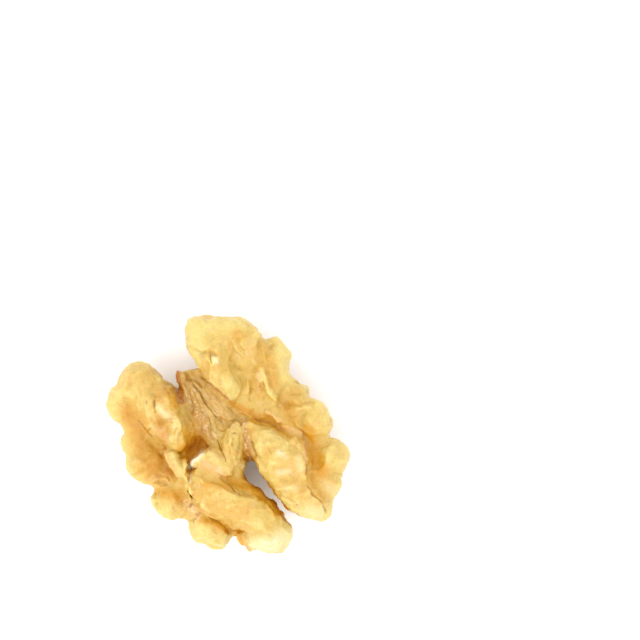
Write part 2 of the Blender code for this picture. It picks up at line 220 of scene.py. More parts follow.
def drawn(line: Line, spacing: float = 0.12) -> np.ndarray:
    """Draws a smooth curve through the points of a line.

    Args:
        line: The points, in mm.
        spacing: The distance between the points drawn, in mm.

    Returns:
        Rows of x and y along the curve.
    """
    knots = [np.array(point, float) for point in line]
    if len(knots) == 1:
        return np.array(knots)
    ends = [2 * knots[0] - knots[1], *knots, 2 * knots[-1] - knots[-2]]
    curve = []
    for before, start, end, after in zip(ends, ends[1:], ends[2:], ends[3:]):
        count = max(2, round(float(np.linalg.norm(end - start)) / spacing))
        for t in np.arange(count) / count:
            curve.append(
                0.5
                * (
                    2 * start
                    + (end - before) * t
                    + (2 * before - 5 * start + 4 * end - after) * t**2
                    + (3 * start - before - 3 * end + after) * t**3
                )
            )
    return np.array([*curve, knots[-1]])


# Where the solid's folds are shifted a little: from and to, on the page. One only holds its place.
NUDGES: tuple[Nudge, ...] = (
    ((2.9, -1.0), (2.5, -1.0)), ((5.6, -7.0), (5.8, -7.1)), ((4.1, -7.0), (3.7, -7.1)),
    ((10.2, -4.0), (10.6, -4.0)), ((8.0, -10.0), (8.0, -10.0)), ((-5.2, -1.8), (-4.7, -1.4)),
    ((-2.6, -11.9), (-2.3, -11.3)), ((0.0, -13.1), (0.3, -12.6)), ((-4.6, -13.6), (-5.3, -13.4)),
    ((-0.6, -15.2), (-0.1, -15.2)), ((0.2, -14.6), (0.9, -14.0)), ((8.0, -14.8), (8.3, -15.0)),
    ((-10.2, -7.2), (-9.6, -7.2)), ((-4.9, 15.1), (-5.0, 15.6)), ((-1.0, 15.8), (-1.0, 16.1)),
    ((2.2, 15.6), (1.8, 16.0)), ((4.0, 15.2), (3.6, 15.0)), ((6.0, 12.6), (6.2, 12.9)),
    ((9.4, 7.6), (9.0, 7.4)), ((14.4, 3.0), (14.1, 2.7)), ((3.0, -5.6), (2.5, -5.5)),
    ((-10.4, -9.0), (-10.7, -9.0)), ((-5.4, -12.1), (-5.2, -11.5)), ((-7.0, -11.8), (-7.0, -12.0)),
    ((11.8, 4.3), (11.3, 4.5)),
)

# Smaller shifts of single edges, made after those.
EDGE_NUDGES: tuple[Nudge, ...] = (
    ((8.4, -10.1), (7.9, -10.4)), ((7.5, -9.6), (7.2, -9.6)), ((6.3, -9.5), (6.8, -9.5)),
    ((6.5, -10.3), (7.1, -10.3)), ((5.3, -7.0), (5.8, -7.1)), ((-2.8, 16.5), (-2.8, 16.1)),
    ((-4.4, 15.7), (-4.9, 15.8)), ((3.7, 15.8), (3.4, 15.4)), ((9.1, 7.0), (9.3, 7.4)),
    ((9.9, 6.4), (10.1, 6.8)), ((12.2, 4.3), (12.4, 4.6)), ((-7.6, 5.4), (-7.5, 5.9)),
    ((-1.0, -15.2), (-0.6, -15.5)), ((-0.3, -14.4), (0.1, -14.6)), ((2.2, -14.7), (1.8, -15.2)),
    ((3.1, -15.6), (2.9, -15.9)), ((-2.0, -11.9), (-1.9, -11.5)), ((-0.6, -12.5), (-0.5, -12.2)),
    ((0.1, -13.5), (0.3, -12.9)), ((2.2, -13.5), (2.2, -13.0)), ((-8.8, -11.3), (-8.5, -11.6)),
    ((9.4, -10.6), (9.2, -10.9)), ((-6.0, -4.6), (-5.55, -4.6)), ((-5.9, -5.5), (-5.55, -5.5)),
    ((8.2, 8.2), (8.5, 8.1)),
)

# Carved lines of the inner face: depth and half width, then x and y of each point in turn.
STROKES: tuple[Stroke, ...] = (
    # top lobe
    crease(0.14, 0.3, 0.1, 12.8, 0.2, 10.9, 0.8, 9.7, 1.6, 9.0, 2.9, 8.7),
    ridge(0.2, 0.22, 0.8, 13.2, 1.0, 12.1, 1.6, 11.2, 2.5, 10.3),
    crease(0.2, 0.26, 1.5, 13.4, 1.7, 12.2, 2.4, 11.2),
    crease(0.28, 0.22, -4.2, 10.9, -3.3, 11.2, -2.4, 11.2, -1.2, 10.6),
    ridge(0.14, 0.25, -4.2, 11.4, -3.0, 11.75, -1.9, 11.7, -1.1, 11.1),
    crack(0.3, 0.13, -2.3, 11.1, -2.35, 10.3, -2.2, 9.5),
    ridge(0.22, 0.5, -1.7, 10.6, -1.6, 9.8),
    ridge(0.16, 0.5, -3.3, 10.6, -3.1, 9.9),
    crease(0.16, 0.3, -0.4, 9.2, -1.0, 8.0, -1.0, 6.8),
    crease(0.18, 0.35, 2.0, 8.4, 2.3, 7.4, 2.2, 6.2, 1.7, 4.8, 0.8, 4.3),
    ridge(0.2, 0.6, 3.4, 14.0, 3.7, 12.9, 3.2, 11.6),
    crease(0.3, 0.45, 4.4, 13.2, 4.3, 11.8, 4.2, 10.4, 4.4, 9.6),
    # upper valley
    ridge(0.28, 0.28, 2.6, 8.2, 2.8, 6.8, 2.7, 5.2),
    ridge(0.32, 0.32, 4.0, 8.6, 4.3, 7.4, 4.3, 6.2),
    crease(0.16, 0.16, 3.1, 7.4, 3.2, 6.0, 3.0, 4.4),
    ridge(0.34, 0.2, 4.4, 9.2, 5.0, 7.9, 5.4, 6.6, 6.0, 5.3, 6.8, 4.2),
    crease(0.22, 0.3, 5.5, 9.1, 5.8, 7.7, 6.3, 6.2, 7.1, 5.1),
    crease(0.25, 0.35, 4.4, 5.2, 4.8, 6.2, 4.9, 7.2),
    crease(0.14, 0.35, 0.6, 3.9, 1.6, 3.3, 2.9, 2.9, 3.6, 3.6),
    # shoulder
    crease(0.3, 0.35, 8.5, 7.2, 7.6, 5.8, 7.2, 4.6, 7.0, 3.4),
    crease(0.2, 0.25, 12.2, 4.5, 10.6, 4.2, 9.0, 4.1, 7.6, 4.4),
    ridge(0.18, 0.35, 11.6, 3.7, 10.4, 3.5, 9.0, 3.6),
    crease(0.3, 0.35, 10.1, 3.4, 10.1, 2.0, 10.3, 0.8),
    crack(0.14, 0.11, 9.0, 7.3, 9.6, 7.0, 10.1, 6.9),
    crease(0.18, 0.3, 8.2, 5.2, 9.2, 5.5, 10.2, 5.6),
    crease(0.22, 0.25, 6.3, 12.6, 5.6, 11.5, 5.2, 10.2),
    # fillings
    lift(0.85, 0.9, 9.3, -0.9, 9.9, -2.2, 10.2, -3.8, 10.4, -5.6),
    lift(0.45, 0.7, 1.9, 8.2, 2.1, 7.2, 2.0, 6.0),
    lift(0.6, 0.65, 3.7, 8.0, 4.1, 6.8, 4.5, 5.6),
    lift(0.4, 0.6, 5.9, 8.7, 6.3, 7.2, 6.8, 6.0),
    lift(0.45, 0.7, -2.4, 6.4, -0.6, 4.9, 1.2, 3.5, 2.6, 2.9),
    lift(0.6, 0.7, -6.2, 2.2, -6.0, 0.6, -6.0, -1.2),
    lift(0.6, 0.5, 1.85, 1.4, 1.9, 0.0, 2.0, -1.4, 2.1, -2.8),
    lift(0.9, 0.65, -7.3, -3.0, -6.7, -4.2, -6.1, -5.3),
    lift(0.4, 0.9, 0.2, -7.4, 1.8, -8.0, 3.2, -8.6),
    lift(0.6, 1.0, -7.8, 4.9, -6.9, 3.2, -6.4, 1.4),
    lift(0.75, 0.55, -4.8, 6.8, -3.8, 5.0, -2.8, 3.6, -1.8, 2.4),
    lift(0.6, 0.7, -7.4, 5.0, -6.9, 4.2),
    lift(2.0, 0.48, -5.7, -3.8, -5.7, -5.4, -5.5, -6.6),
    lift(1.3, 0.45, -5.5, -7.2, -5.1, -8.6),
    lift(0.3, 0.6, 0.2, 12.4, 0.3, 11.0, 0.8, 9.8),
    lift(0.3, 0.6, 5.4, 3.1, 6.2, 2.7, 7.0, 2.1),
    lift(0.62, 0.7, 3.6, 2.0, 5.2, 1.7, 7.0, 0.7, 8.6, -0.7),
    lift(0.3, 0.8, -3.4, -6.2, -1.0, -7.0, 1.4, -7.8),
    # middle ridge
    ridge(0.45, 0.3, 4.9, 3.1, 5.8, 2.8, 6.6, 2.3, 7.1, 1.5),
    ridge(0.4, 0.3, 7.2, 1.1, 8.2, 0.9, 9.2, 0.4, 10.3, -0.2),
    crease(0.25, 0.3, 3.3, 2.1, 4.4, 2.0, 5.6, 1.8, 6.6, 1.2, 7.6, 0.5, 8.8, -0.6),
    crack(0.12, 0.1, 3.2, 2.2, 3.9, 2.0, 4.7, 1.8),
    # right lobe
    edge(0.5, 0.26, 11.0, -6.8, 10.8, -5.2, 10.8, -3.6, 10.6, -2.0, 10.5, -0.6),
    crease(0.24, 0.22, 10.7, -6.5, 11.3, -7.5, 12.0, -8.3, 12.8, -9.2, 13.4, -10.2, 13.5, -11.2),
    crack(0.14, 0.1, 10.7, -6.5, 11.3, -7.5, 12.0, -8.3, 12.8, -9.2, 13.4, -10.2, 13.6, -11.0),
    crease(0.14, 0.22, 5.2, -1.6, 5.7, -1.9, 6.1, -2.8),
    crack(0.14, 0.1, 6.9, -2.4, 7.3, -2.2, 7.7, -2.3),
    ridge(0.16, 0.45, 7.3, -2.8, 7.5, -3.3),
    crease(0.16, 0.3, 6.0, -4.4, 7.4, -4.6, 8.9, -4.5),
    ridge(0.14, 0.4, 7.0, -5.3, 8.2, -5.2, 9.2, -4.9),
    crease(0.14, 0.3, 6.8, -6.2, 8.4, -6.3, 9.8, -6.0),
    ridge(0.12, 0.35, 7.6, -7.2, 8.8, -7.1, 9.9, -7.4),
    crease(0.12, 0.14, 7.4, -8.3, 8.3, -8.6, 9.3, -9.3),
    crease(0.1, 0.12, 7.8, -9.3, 8.6, -9.6, 9.5, -9.9),
    crack(0.12, 0.12, 9.3, -9.3, 9.5, -9.7),
    crack(0.16, 0.14, 10.6, -3.9, 10.9, -4.6, 10.6, -5.5),
    ridge(0.16, 0.22, 11.0, -4.9, 11.6, -5.1, 12.2, -5.0),
    crease(0.2, 0.25, 12.4, -5.8, 13.2, -6.9, 13.4, -8.2),
    crease(0.16, 0.25, 13.6, -5.6, 14.6, -5.4, 15.6, -5.4),
    # tongue
    crack(0.26, 0.14, -5.5, 8.2, -4.5, 6.7, -3.2, 4.6, -2.0, 3.0, -1.0, 1.9, -0.1, 0.8),
    ridge(0.26, 0.24, -6.3, 8.4, -5.5, 6.7, -4.7, 5.0, -3.9, 3.4, -3.2, 1.6),
    crease(0.26, 0.2, -5.9, 7.6, -5.3, 5.8, -4.9, 4.0, -4.9, 2.2),
    ridge(0.18, 0.18, -6.2, 7.4, -5.7, 5.6, -5.4, 3.8),
    crack(0.26, 0.14, -4.0, 8.0, -2.6, 7.0, -1.6, 6.2, -0.5, 5.2, 0.3, 4.6),
    ridge(0.16, 0.26, -4.6, 7.4, -3.6, 6.2, -2.5, 4.8, -1.4, 3.4, -0.3, 2.5),
    ridge(0.12, 0.22, -3.2, 6.6, -2.0, 5.2, -0.7, 4.0, 0.8, 2.9),
    crease(0.12, 0.16, -3.4, 6.0, -2.3, 4.5, -1.2, 3.1, 0.4, 2.0),
    ridge(0.18, 0.22, -4.0, 4.7, -3.3, 3.2, -2.9, 1.8, -2.9, 0.6),
    crease(0.16, 0.18, -3.9, 3.0, -3.6, 1.6, -3.7, 0.4),
    ridge(0.16, 0.2, -2.6, 3.0, -2.0, 1.6, -1.7, 0.4),
    crease(0.16, 0.16, -2.6, 2.0, -2.3, 0.9, -2.3, -0.2),
    ridge(0.16, 0.22, -5.1, 1.8, -4.9, 0.9, -4.6, 0.2),
    edge(0.25, 0.2, -3.4, -2.0, -2.5, -1.4, -1.4, -0.9),
    # knob
    crease(0.3, 0.2, 0.0, 0.7, 0.4, 1.6, 1.1, 1.9, 1.8, 1.6),
    crease(0.1, 0.14, 1.85, 1.6, 1.95, 0.4, 2.0, -0.6),
    crease(0.22, 0.2, 0.0, 0.7, -0.1, -0.4, 0.1, -1.6, 0.5, -2.8),
    ridge(0.22, 0.24, 0.3, 0.6, 0.6, 1.2, 1.1, 1.4, 1.6, 1.0),
    ridge(0.16, 0.24, 1.3, 0.0, 1.3, -1.0, 1.2, -1.8),
    crease(0.14, 0.2, 1.7, -1.6, 1.4, -2.8, 1.6, -3.6),
    crack(0.24, 0.12, 0.4, 0.2, 0.9, 0.15, 1.3, 0.25),
    crease(0.18, 0.15, 0.75, -0.3, 0.75, -1.6),
    ridge(0.32, 0.22, 2.1, 2.0, 2.35, 0.8, 2.5, -0.6, 2.7, -2.0, 3.2, -3.4),
    crack(0.26, 0.12, 2.2, 0.0, 2.4, -0.8, 2.6, -1.4),
    crease(0.45, 0.26, 2.75, 1.0, 2.95, -0.4, 3.3, -1.8, 3.9, -3.4),
    crack(0.2, 0.12, 2.7, -0.4, 3.0, -1.4, 3.5, -2.6, 4.0, -3.8),
    crack(0.24, 0.11, -1.5, -0.4, -1.15, -1.3, -0.85, -2.3, -0.4, -3.2, -0.1, -4.0),
    edge(0.18, 0.2, -1.2, -1.0, -0.4, -1.5, 0.2, -2.6),
    # plate
    edge(0.75, 0.2, -3.1, -2.3, -3.8, -2.9, -4.7, -3.6, -5.1, -4.3),
    edge(0.35, 0.3, -5.1, -4.3, -5.3, -6.0, -5.1, -7.4, -4.6, -8.6, -3.9, -9.6, -3.2, -10.8),
    edge(1.0, 0.22, -3.5, -10.2, -3.0, -11.0, -2.0, -11.5, -1.1, -11.7, -0.3, -12.4, 0.6, -12.9, 1.6,
         -12.8, 2.3, -13.1, 2.9, -13.5),
    crack(0.2, 0.13, -2.9, -11.2, -2.0, -11.7, -1.2, -11.9, -0.4, -12.6),
    crack(0.22, 0.12, -5.0, -4.75, -4.6, -4.7, -4.2, -4.55),
    crease(0.14, 0.2, -2.4, -1.8, -2.2, -2.3),
    crease(0.16, 0.35, -3.9, -5.2, -2.8, -6.2, -1.2, -6.5),
    crease(0.16, 0.4, -2.4, -6.6, -0.6, -6.9, 1.0, -7.6, 2.6, -8.0, 4.2, -8.4),
    crack(0.14, 0.1, 0.0, -6.4, 0.7, -7.1, 1.3, -7.6, 2.0, -7.9),
    ridge(0.2, 0.3, -1.3, -4.6, -0.4, -5.4, 0.8, -5.2),
    crease(0.12, 0.25, -1.6, -4.9, -0.8, -5.9, 0.5, -6.2),
    ridge(0.2, 0.4, -3.6, -7.6, -2.4, -8.5, -1.4, -8.0, -0.8, -7.4),
    crease(0.14, 0.28, -3.2, -9.4, -2.0, -9.6, -1.0, -8.8),
    # bottom lobe
    ridge(0.2, 0.18, 4.4, -8.9, 5.2, -9.4, 5.8, -10.2, 6.5, -10.9),
    crease(0.2, 0.25, 3.4, -7.9, 5.0, -8.9, 6.3, -10.0, 7.1, -11.2),
    crease(0.14, 0.4, 0.2, -10.6, 1.8, -9.8, 3.4, -10.4),
    ridge(0.12, 0.35, 0.4, -11.6, 1.8, -12.0, 3.0, -12.2),
    crease(0.45, 0.22, 2.2, -13.2, 2.4, -14.2, 2.7, -15.2, 3.5, -16.0),
    ridge(0.3, 0.26, 1.5, -13.4, 1.7, -14.4, 2.1, -15.4),
    crease(0.25, 0.18, 1.1, -13.1, 1.1, -13.8, 1.3, -14.6),
    crease(0.16, 0.3, 3.0, -13.6, 4.6, -13.4, 6.2, -13.8),
    # left lobe
    crack(0.28, 0.13, -9.95, 4.9, -10.0, 4.0, -9.95, 3.2, -9.7, 2.8),
    crack(0.18, 0.12, -11.2, 4.6, -11.0, 4.1),
    crack(0.26, 0.13, -12.4, 2.0, -11.7, 1.4, -10.9, 0.4, -10.3, -0.6),
    crack(0.16, 0.11, -10.3, 1.0, -10.9, 0.4),
    ridge(0.2, 0.55, -9.2, 3.6, -8.6, 2.7),
    crease(0.2, 0.3, -9.6, 1.6, -8.6, 1.8, -7.6, 2.2),
    crease(0.12, 0.22, -8.2, 1.6, -8.1, 0.4, -8.2, -0.8),
    ridge(0.1, 0.35, -7.4, 1.8, -7.4, 0.4, -7.1, -1.2),
    crease(0.45, 0.28, -9.3, -1.6, -8.4, -1.9, -7.2, -2.2, -6.0, -2.7),
    crease(0.22, 0.35, -9.8, 7.4, -10.2, 6.2, -9.6, 5.0),
    crease(0.18, 0.3, -8.6, 6.6, -7.8, 5.4, -7.2, 4.2),
    # lower frill
    ridge(0.42, 0.24, -8.7, -1.9, -8.2, -3.1, -7.7, -4.2, -7.0, -5.2, -6.3, -6.1),
    crease(0.42, 0.3, -9.2, -2.2, -8.8, -3.4, -8.2, -4.6, -7.4, -5.7, -6.9, -6.6),
    crease(0.08, 0.2, -7.6, -3.0, -6.9, -4.2, -6.2, -5.2),
    ridge(0.28, 0.22, -10.5, -6.5, -9.9, -6.1, -8.9, -6.0, -8.0, -6.4),
    crease(0.35, 0.22, -10.3, -6.9, -9.6, -6.6, -8.7, -6.7, -7.9, -7.0),
    ridge(0.2, 0.2, -9.9, -7.4, -9.0, -7.2, -8.1, -6.9),
    crease(0.22, 0.22, -10.0, -7.8, -9.95, -8.8, -9.7, -9.8),
    crease(0.2, 0.26, -6.4, -11.6, -5.8, -10.6, -5.2, -9.8, -4.6, -9.2),
    crease(0.35, 0.24, -5.0, -12.0, -4.4, -11.3, -3.8, -10.4),
    ridge(0.22, 0.18, -4.7, -12.0, -4.1, -11.4, -3.6, -10.8),
    ridge(0.22, 0.24, -5.4, -9.0, -4.6, -9.2, -3.9, -9.1),
    crease(0.12, 0.22, -5.4, -9.5, -4.6, -9.7, -4.0, -9.6),
    crease(0.12, 0.3, -3.2, -12.6, -3.1, -13.8, -2.8, -15.0),
    crease(0.12, 0.3, -1.6, -12.8, -1.6, -14.0, -1.2, -15.2),
    crease(0.12, 0.4, -13.4, -3.4, -12.0, -3.2, -10.8, -3.6),
    crease(0.12, 0.35, -12.8, -5.6, -11.6, -4.8, -10.4, -4.6),
    crease(0.12, 0.35, -8.6, -8.4, -7.6, -9.4, -7.2, -10.8),
)

# Tinted patches of the inner face, some of them painted light and shade: strength and reach, then x and y
# of each point in turn.
WASHES: tuple[Wash, ...] = (
    # the deep hollow beside the plate, the orange valleys and the shaded flanks, in orange and brown that
    # are partly the skin's own and partly painted shade
    umber(0.75, 0.8, -4.2, -0.8, -4.4, -1.5, -5.2, -2.0),
    amber(1.0, 1.6, -4.8, 0.4, -4.7, -1.4, -5.4, -2.4),
    amber(1.2, 0.7, 3.6, 2.3, 5.2, 2.1, 6.4, 1.5, 7.8, 0.5),
    umber(0.48, 0.35, 3.4, 2.2, 4.6, 1.9, 6.0, 1.4, 7.2, 0.6),
    amber(0.55, 0.6, 7.6, 0.3, 8.6, -0.5, 9.4, -1.0),
    amber(1.0, 1.2, 11.0, 0.6, 11.4, -1.8, 12.0, -3.4, 12.8, -5.0),
    amber(0.6, 0.9, 11.4, -5.6, 12.2, -7.2, 13.0, -8.8),
    amber(0.45, 1.1, 1.4, 14.0, 1.6, 12.9),
    amber(0.4, 0.5, 0.3, 12.4, 0.3, 10.9, 0.9, 9.6, 1.8, 8.9, 3.4, 8.7),
    amber(0.45, 1.3, 4.6, 12.2, 4.8, 10.6, 5.6, 8.8, 6.2, 7.2),
    amber(0.4, 0.7, 8.2, 4.2, 9.6, 4.2, 11.4, 4.3),
    amber(0.55, 1.4, 8.4, 3.2, 9.1, 1.4),
    amber(0.68, 1.7, -13.6, 3.0, -12.4, 0.8, -12.0, -1.2, -11.2, -3.0, -10.4, -4.6),
    amber(0.72, 1.5, -10.0, -3.0, -9.2, -4.4, -8.2, -5.6),
    amber(0.58, 2.0, -11.4, -4.6, -9.8, -5.4),
    amber(0.85, 0.8, -8.4, 5.9, -7.5, 5.0, -7.2, 4.0),
    amber(0.8, 1.0, -9.4, -7.9, -7.8, -8.2, -6.6, -8.8),
    amber(0.8, 0.8, -3.6, -11.7, -2.0, -12.0, -0.6, -12.7),
    amber(1.0, 0.9, 0.8, -6.6, 2.6, -7.1, 4.4, -8.1, 6.0, -9.4, 7.0, -10.7),
    amber(0.62, 0.7, -3.0, -6.8, -1.2, -6.9, 0.8, -7.2),
    umber(0.66, 0.38, 2.4, -5.4, 2.9, -6.4, 4.1, -7.4, 5.6, -8.6, 6.8, -9.7, 7.5, -10.9),
    umber(0.55, 0.35, 2.3, 0.6, 2.7, -1.4, 3.2, -3.0),
    umber(0.42, 1.5, -9.4, 1.6, -8.8, 0.2, -8.8, -1.0),
    umber(0.38, 1.5, -13.4, 3.0, -12.2, 0.8, -11.8, -1.4, -11.2, -3.6, -9.6, -5.2),
    umber(0.52, 0.9, -9.4, -2.6, -8.8, -4.0, -8.0, -5.4),
    umber(0.36, 0.8, -9.8, 5.0, -8.8, 4.8),
    umber(0.42, 1.4, -5.6, 7.0, -4.8, 4.8, -3.8, 2.4, -3.2, 0.8),
    umber(0.52, 0.42, -3.6, 7.8, -1.8, 6.3, -0.6, 5.3, 0.4, 4.5),
    umber(0.32, 0.7, 0.6, 4.1, 1.8, 3.4, 3.0, 2.9),
    umber(0.26, 0.9, 9.6, 6.2, 10.6, 5.8),
    umber(0.24, 1.2, -9.0, -7.8, -7.6, -8.4, -6.6, -9.4),
    umber(0.2, 0.8, 11.6, -2.4, 12.4, -4.2),
    amber(0.6, 1.0, -9.4, 1.4, -8.6, 0.4, -8.6, -0.8),
    amber(0.45, 0.6, -9.2, 5.4, -8.8, 4.6),
    amber(0.85, 0.7, 0.8, 4.1, 2.0, 3.4, 3.2, 3.0),
    amber(0.95, 0.45, 1.4, -13.2, 1.7, -14.2, 2.1, -15.2, 3.0, -16.0),
    umber(0.35, 0.25, 2.2, -13.3, 2.4, -14.3, 2.7, -15.3),
    umber(0.3, 0.3, -9.2, -2.4, -8.8, -3.6, -8.2, -4.7, -7.4, -5.8),
    # the brown tip and flank of the tongue
    umber(1.2, 0.55, -7.2, 8.8, -6.9, 7.4, -6.6, 5.8, -6.4, 4.6),
    umber(0.5, 0.6, -6.4, 6.0, -6.0, 4.6),
    umber(0.45, 0.25, -8.7, 7.0, -8.0, 6.2, -7.4, 5.6),
    # the fibrous skin of the tongue
    fibre(1.0, 1.6, -6.2, 7.4, -4.8, 5.2, -3.6, 3.0, -3.0, 0.8, -2.6, -0.4),
    fibre(1.0, 1.5, -4.0, 6.8, -2.4, 5.0, -0.8, 3.2, 0.6, 2.0),
    fibre(0.6, 0.9, -5.6, 4.0, -5.4, 2.0, -4.8, 0.6),
    # pinkish crests and flakes
    blush(0.6, 0.4, 2.2, 1.8, 2.5, 0.2, 2.7, -1.6, 3.1, -3.2),
    blush(0.7, 1.0, -3.2, -4.2, -2.0, -4.6, -1.0, -5.0),
    blush(0.5, 0.8, -2.2, -2.4, -1.4, -3.0),
    blush(0.6, 0.5, 5.0, 3.1, 6.2, 2.6, 7.0, 1.7),
    blush(0.6, 0.5, 7.4, 1.0, 8.8, 0.6, 10.2, -0.2, 10.6, -1.6, 10.7, -3.4),
    blush(0.6, 0.6, 4.2, 8.4, 4.3, 7.2, 4.2, 6.2),
    blush(0.5, 0.7, 3.4, 12.8, 3.2, 11.8, 2.6, 10.8),
    blush(0.55, 0.9, -9.8, 0.6, -8.8, 0.2, -8.4, -0.8),
    blush(0.5, 0.7, -8.2, 2.9, -7.6, 2.2),
    blush(0.6, 0.4, -8.6, -2.2, -8.0, -3.6, -7.2, -4.8, -6.4, -5.9),
    blush(0.6, 0.5, -10.4, -6.3, -9.2, -6.1, -8.2, -6.7),
    blush(0.6, 0.9, -5.2, -9.4, -4.8, -10.4, -4.2, -11.2),
    blush(0.95, 0.45, -3.4, -3.6, -2.6, -4.2, -1.4, -5.0),
    blush(0.4, 1.2, 13.4, -6.4, 14.4, -7.6),
    blush(0.45, 0.9, 8.2, -5.2, 9.2, -3.6, 9.8, -5.0),
    blush(0.45, 0.7, -2.6, 6.2, -1.6, 3.8, -0.9, 2.9),
    # painted light on the pale, thin rim all round
    pale(0.55, 1.1, -7.2, 12.0, -5.8, 13.6, -4.7, 15.6, -2.8, 16.1, 2.1, 16.0, 4.2, 14.1, 4.9, 13.0, 7.3,
         13.0, 8.2, 11.3, 8.6, 8.9, 8.8, 7.5, 10.4, 6.6, 11.2, 5.1, 12.6, 4.6, 14.1, 2.6, 14.6, 1.4, 13.9,
         -0.3, 15.3, -1.2, 16.5, -2.6, 16.4, -4.3, 15.7, -5.2, 15.7, -7.1, 15.3, -8.3, 14.3, -9.4, 14.2,
         -10.9, 13.4, -12.0, 11.5, -11.9, 10.1, -11.4),
    pale(0.55, 1.1, 8.3, -12.4, 8.5, -13.7, 8.0, -15.5, 6.6, -16.2, 3.8, -16.1),
    pale(0.55, 1.0, 0.0, -14.6, -0.5, -15.6, -2.4, -15.6, -3.8, -15.0, -5.2, -13.5),
    pale(0.55, 1.0, -7.1, -12.1, -8.2, -11.8, -9.5, -10.2, -10.6, -9.0, -9.8, -7.4),
    pale(0.55, 1.1, -11.1, -7.0, -12.5, -6.4, -13.8, -4.8, -14.0, -3.1, -14.8, -1.7, -14.6, -0.5, -14.3,
         0.8, -15.6, 2.2, -16.6, 3.7, -16.6, 4.7, -15.4, 5.7, -14.5, 8.2, -13.5, 9.6, -12.0, 10.2, -10.9,
         9.6),
    # painted light on paler, fuller parts
    pale(0.9, 1.9, -4.6, 15.0, -4.9, 13.4, -4.4, 11.6),
    pale(0.8, 1.5, -4.0, 14.8, -1.6, 14.8, 1.6, 15.4),
    pale(0.7, 1.2, -0.2, 7.0, 0.6, 6.4, 0.8, 5.2),
    pale(0.6, 0.9, -9.0, 3.6, -8.5, 2.8),
    pale(0.8, 1.8, 3.6, -15.0, 5.4, -14.8, 7.4, -14.2),
    pale(0.6, 1.6, 11.0, -10.4, 12.2, -10.8),
    pale(0.6, 1.5, -2.6, -14.6, -4.2, -13.6),
    pale(0.6, 1.4, -8.6, -10.2, -7.6, -11.4),
    pale(0.4, 1.0, -13.2, -3.4, -12.6, -5.4),
    pale(0.6, 1.5, -15.8, 4.6, -15.4, 3.0),
    pale(0.55, 1.2, -14.2, -0.6, -13.8, -1.8),
    pale(0.55, 1.4, 15.4, -2.6, 15.4, -4.2),
    pale(0.6, 1.3, 13.4, 2.6, 14.0, 1.4),
    pale(0.85, 1.2, 7.6, 11.6, 7.8, 9.4, 8.0, 7.6),
    pale(0.6, 0.5, 0.9, 1.1, 1.3, -0.8, 1.2, -2.0),
    pale(0.6, 0.6, -7.4, -3.0, -6.8, -4.0, -6.2, -5.2),
    pale(0.45, 1.4, -2.8, 13.2, -0.8, 12.6),
    pale(0.5, 0.3, 4.5, 9.0, 5.1, 7.6, 5.6, 5.9, 6.5, 4.4),
    # crumbly places
    crumb(0.55, 0.4, 2.1, 2.0, 2.4, 0.8, 2.5, -0.6, 2.7, -2.0, 3.2, -3.6),
    crumb(0.5, 0.5, -7.3, 1.8, -7.3, 0.6, -7.4, -0.4),
    crumb(0.45, 0.6, -5.4, -9.6, -4.8, -10.4, -4.3, -11.2),
    crumb(0.35, 0.45, -1.4, -4.6, -0.6, -5.4, 0.8, -5.0),
    crumb(0.6, 0.4, -1.9, 0.3, -1.4, -0.2),
    crumb(0.3, 0.4, -6.7, 5.2, -6.4, 4.3),
    crumb(0.2, 0.5, 8.0, -9.0, 9.2, -9.6),
    crumb(0.5, 0.4, -5.2, -4.4, -4.2, -3.3, -3.6, -2.7),
    crumb(0.4, 0.9, -5.0, 5.4, -4.4, 3.6, -3.2, 2.2, -2.8, 0.8),
    crumb(0.3, 0.6, -1.4, 2.9, -0.9, 2.2),
    crumb(0.4, 0.5, 1.8, -4.2, 2.6, -4.6),
    # bare white flesh where the skin has chipped
    flesh(0.64, 0.4, -3.5, -2.5, -4.0, -3.1, -4.7, -3.7, -5.1, -4.4),
    flesh(0.35, 0.22, -5.2, -5.2, -5.1, -6.6),
    flesh(0.35, 0.22, 10.0, 7.0, 10.8, 6.3),
    # painted highlights: bright spots with a waxy sheen
    flesh(0.38, 0.55, -9.3, 3.8, -8.9, 3.1, -8.3, 2.6),
    flesh(0.5, 0.5, 7.0, -2.4, 7.5, -2.8),
    flesh(0.48, 0.45, -1.8, 10.5, -1.5, 9.9),
    flesh(0.5, 0.6, 4.5, -14.6, 5.6, -14.8, 6.6, -14.5),
    flesh(0.44, 1.5, 4.0, -15.4, 5.8, -15.2, 7.4, -14.2),
    flesh(0.36, 0.6, 7.0, -5.2, 8.2, -5.0),
    flesh(0.3, 1.4, 11.0, -10.6, 12.4, -10.8),
    flesh(0.26, 0.6, 7.8, -7.4, 9.4, -7.2),
    flesh(0.24, 1.0, 13.6, -7.2, 14.6, -7.6),
    flesh(0.24, 0.6, 9.6, -3.2, 9.9, -4.6),
)


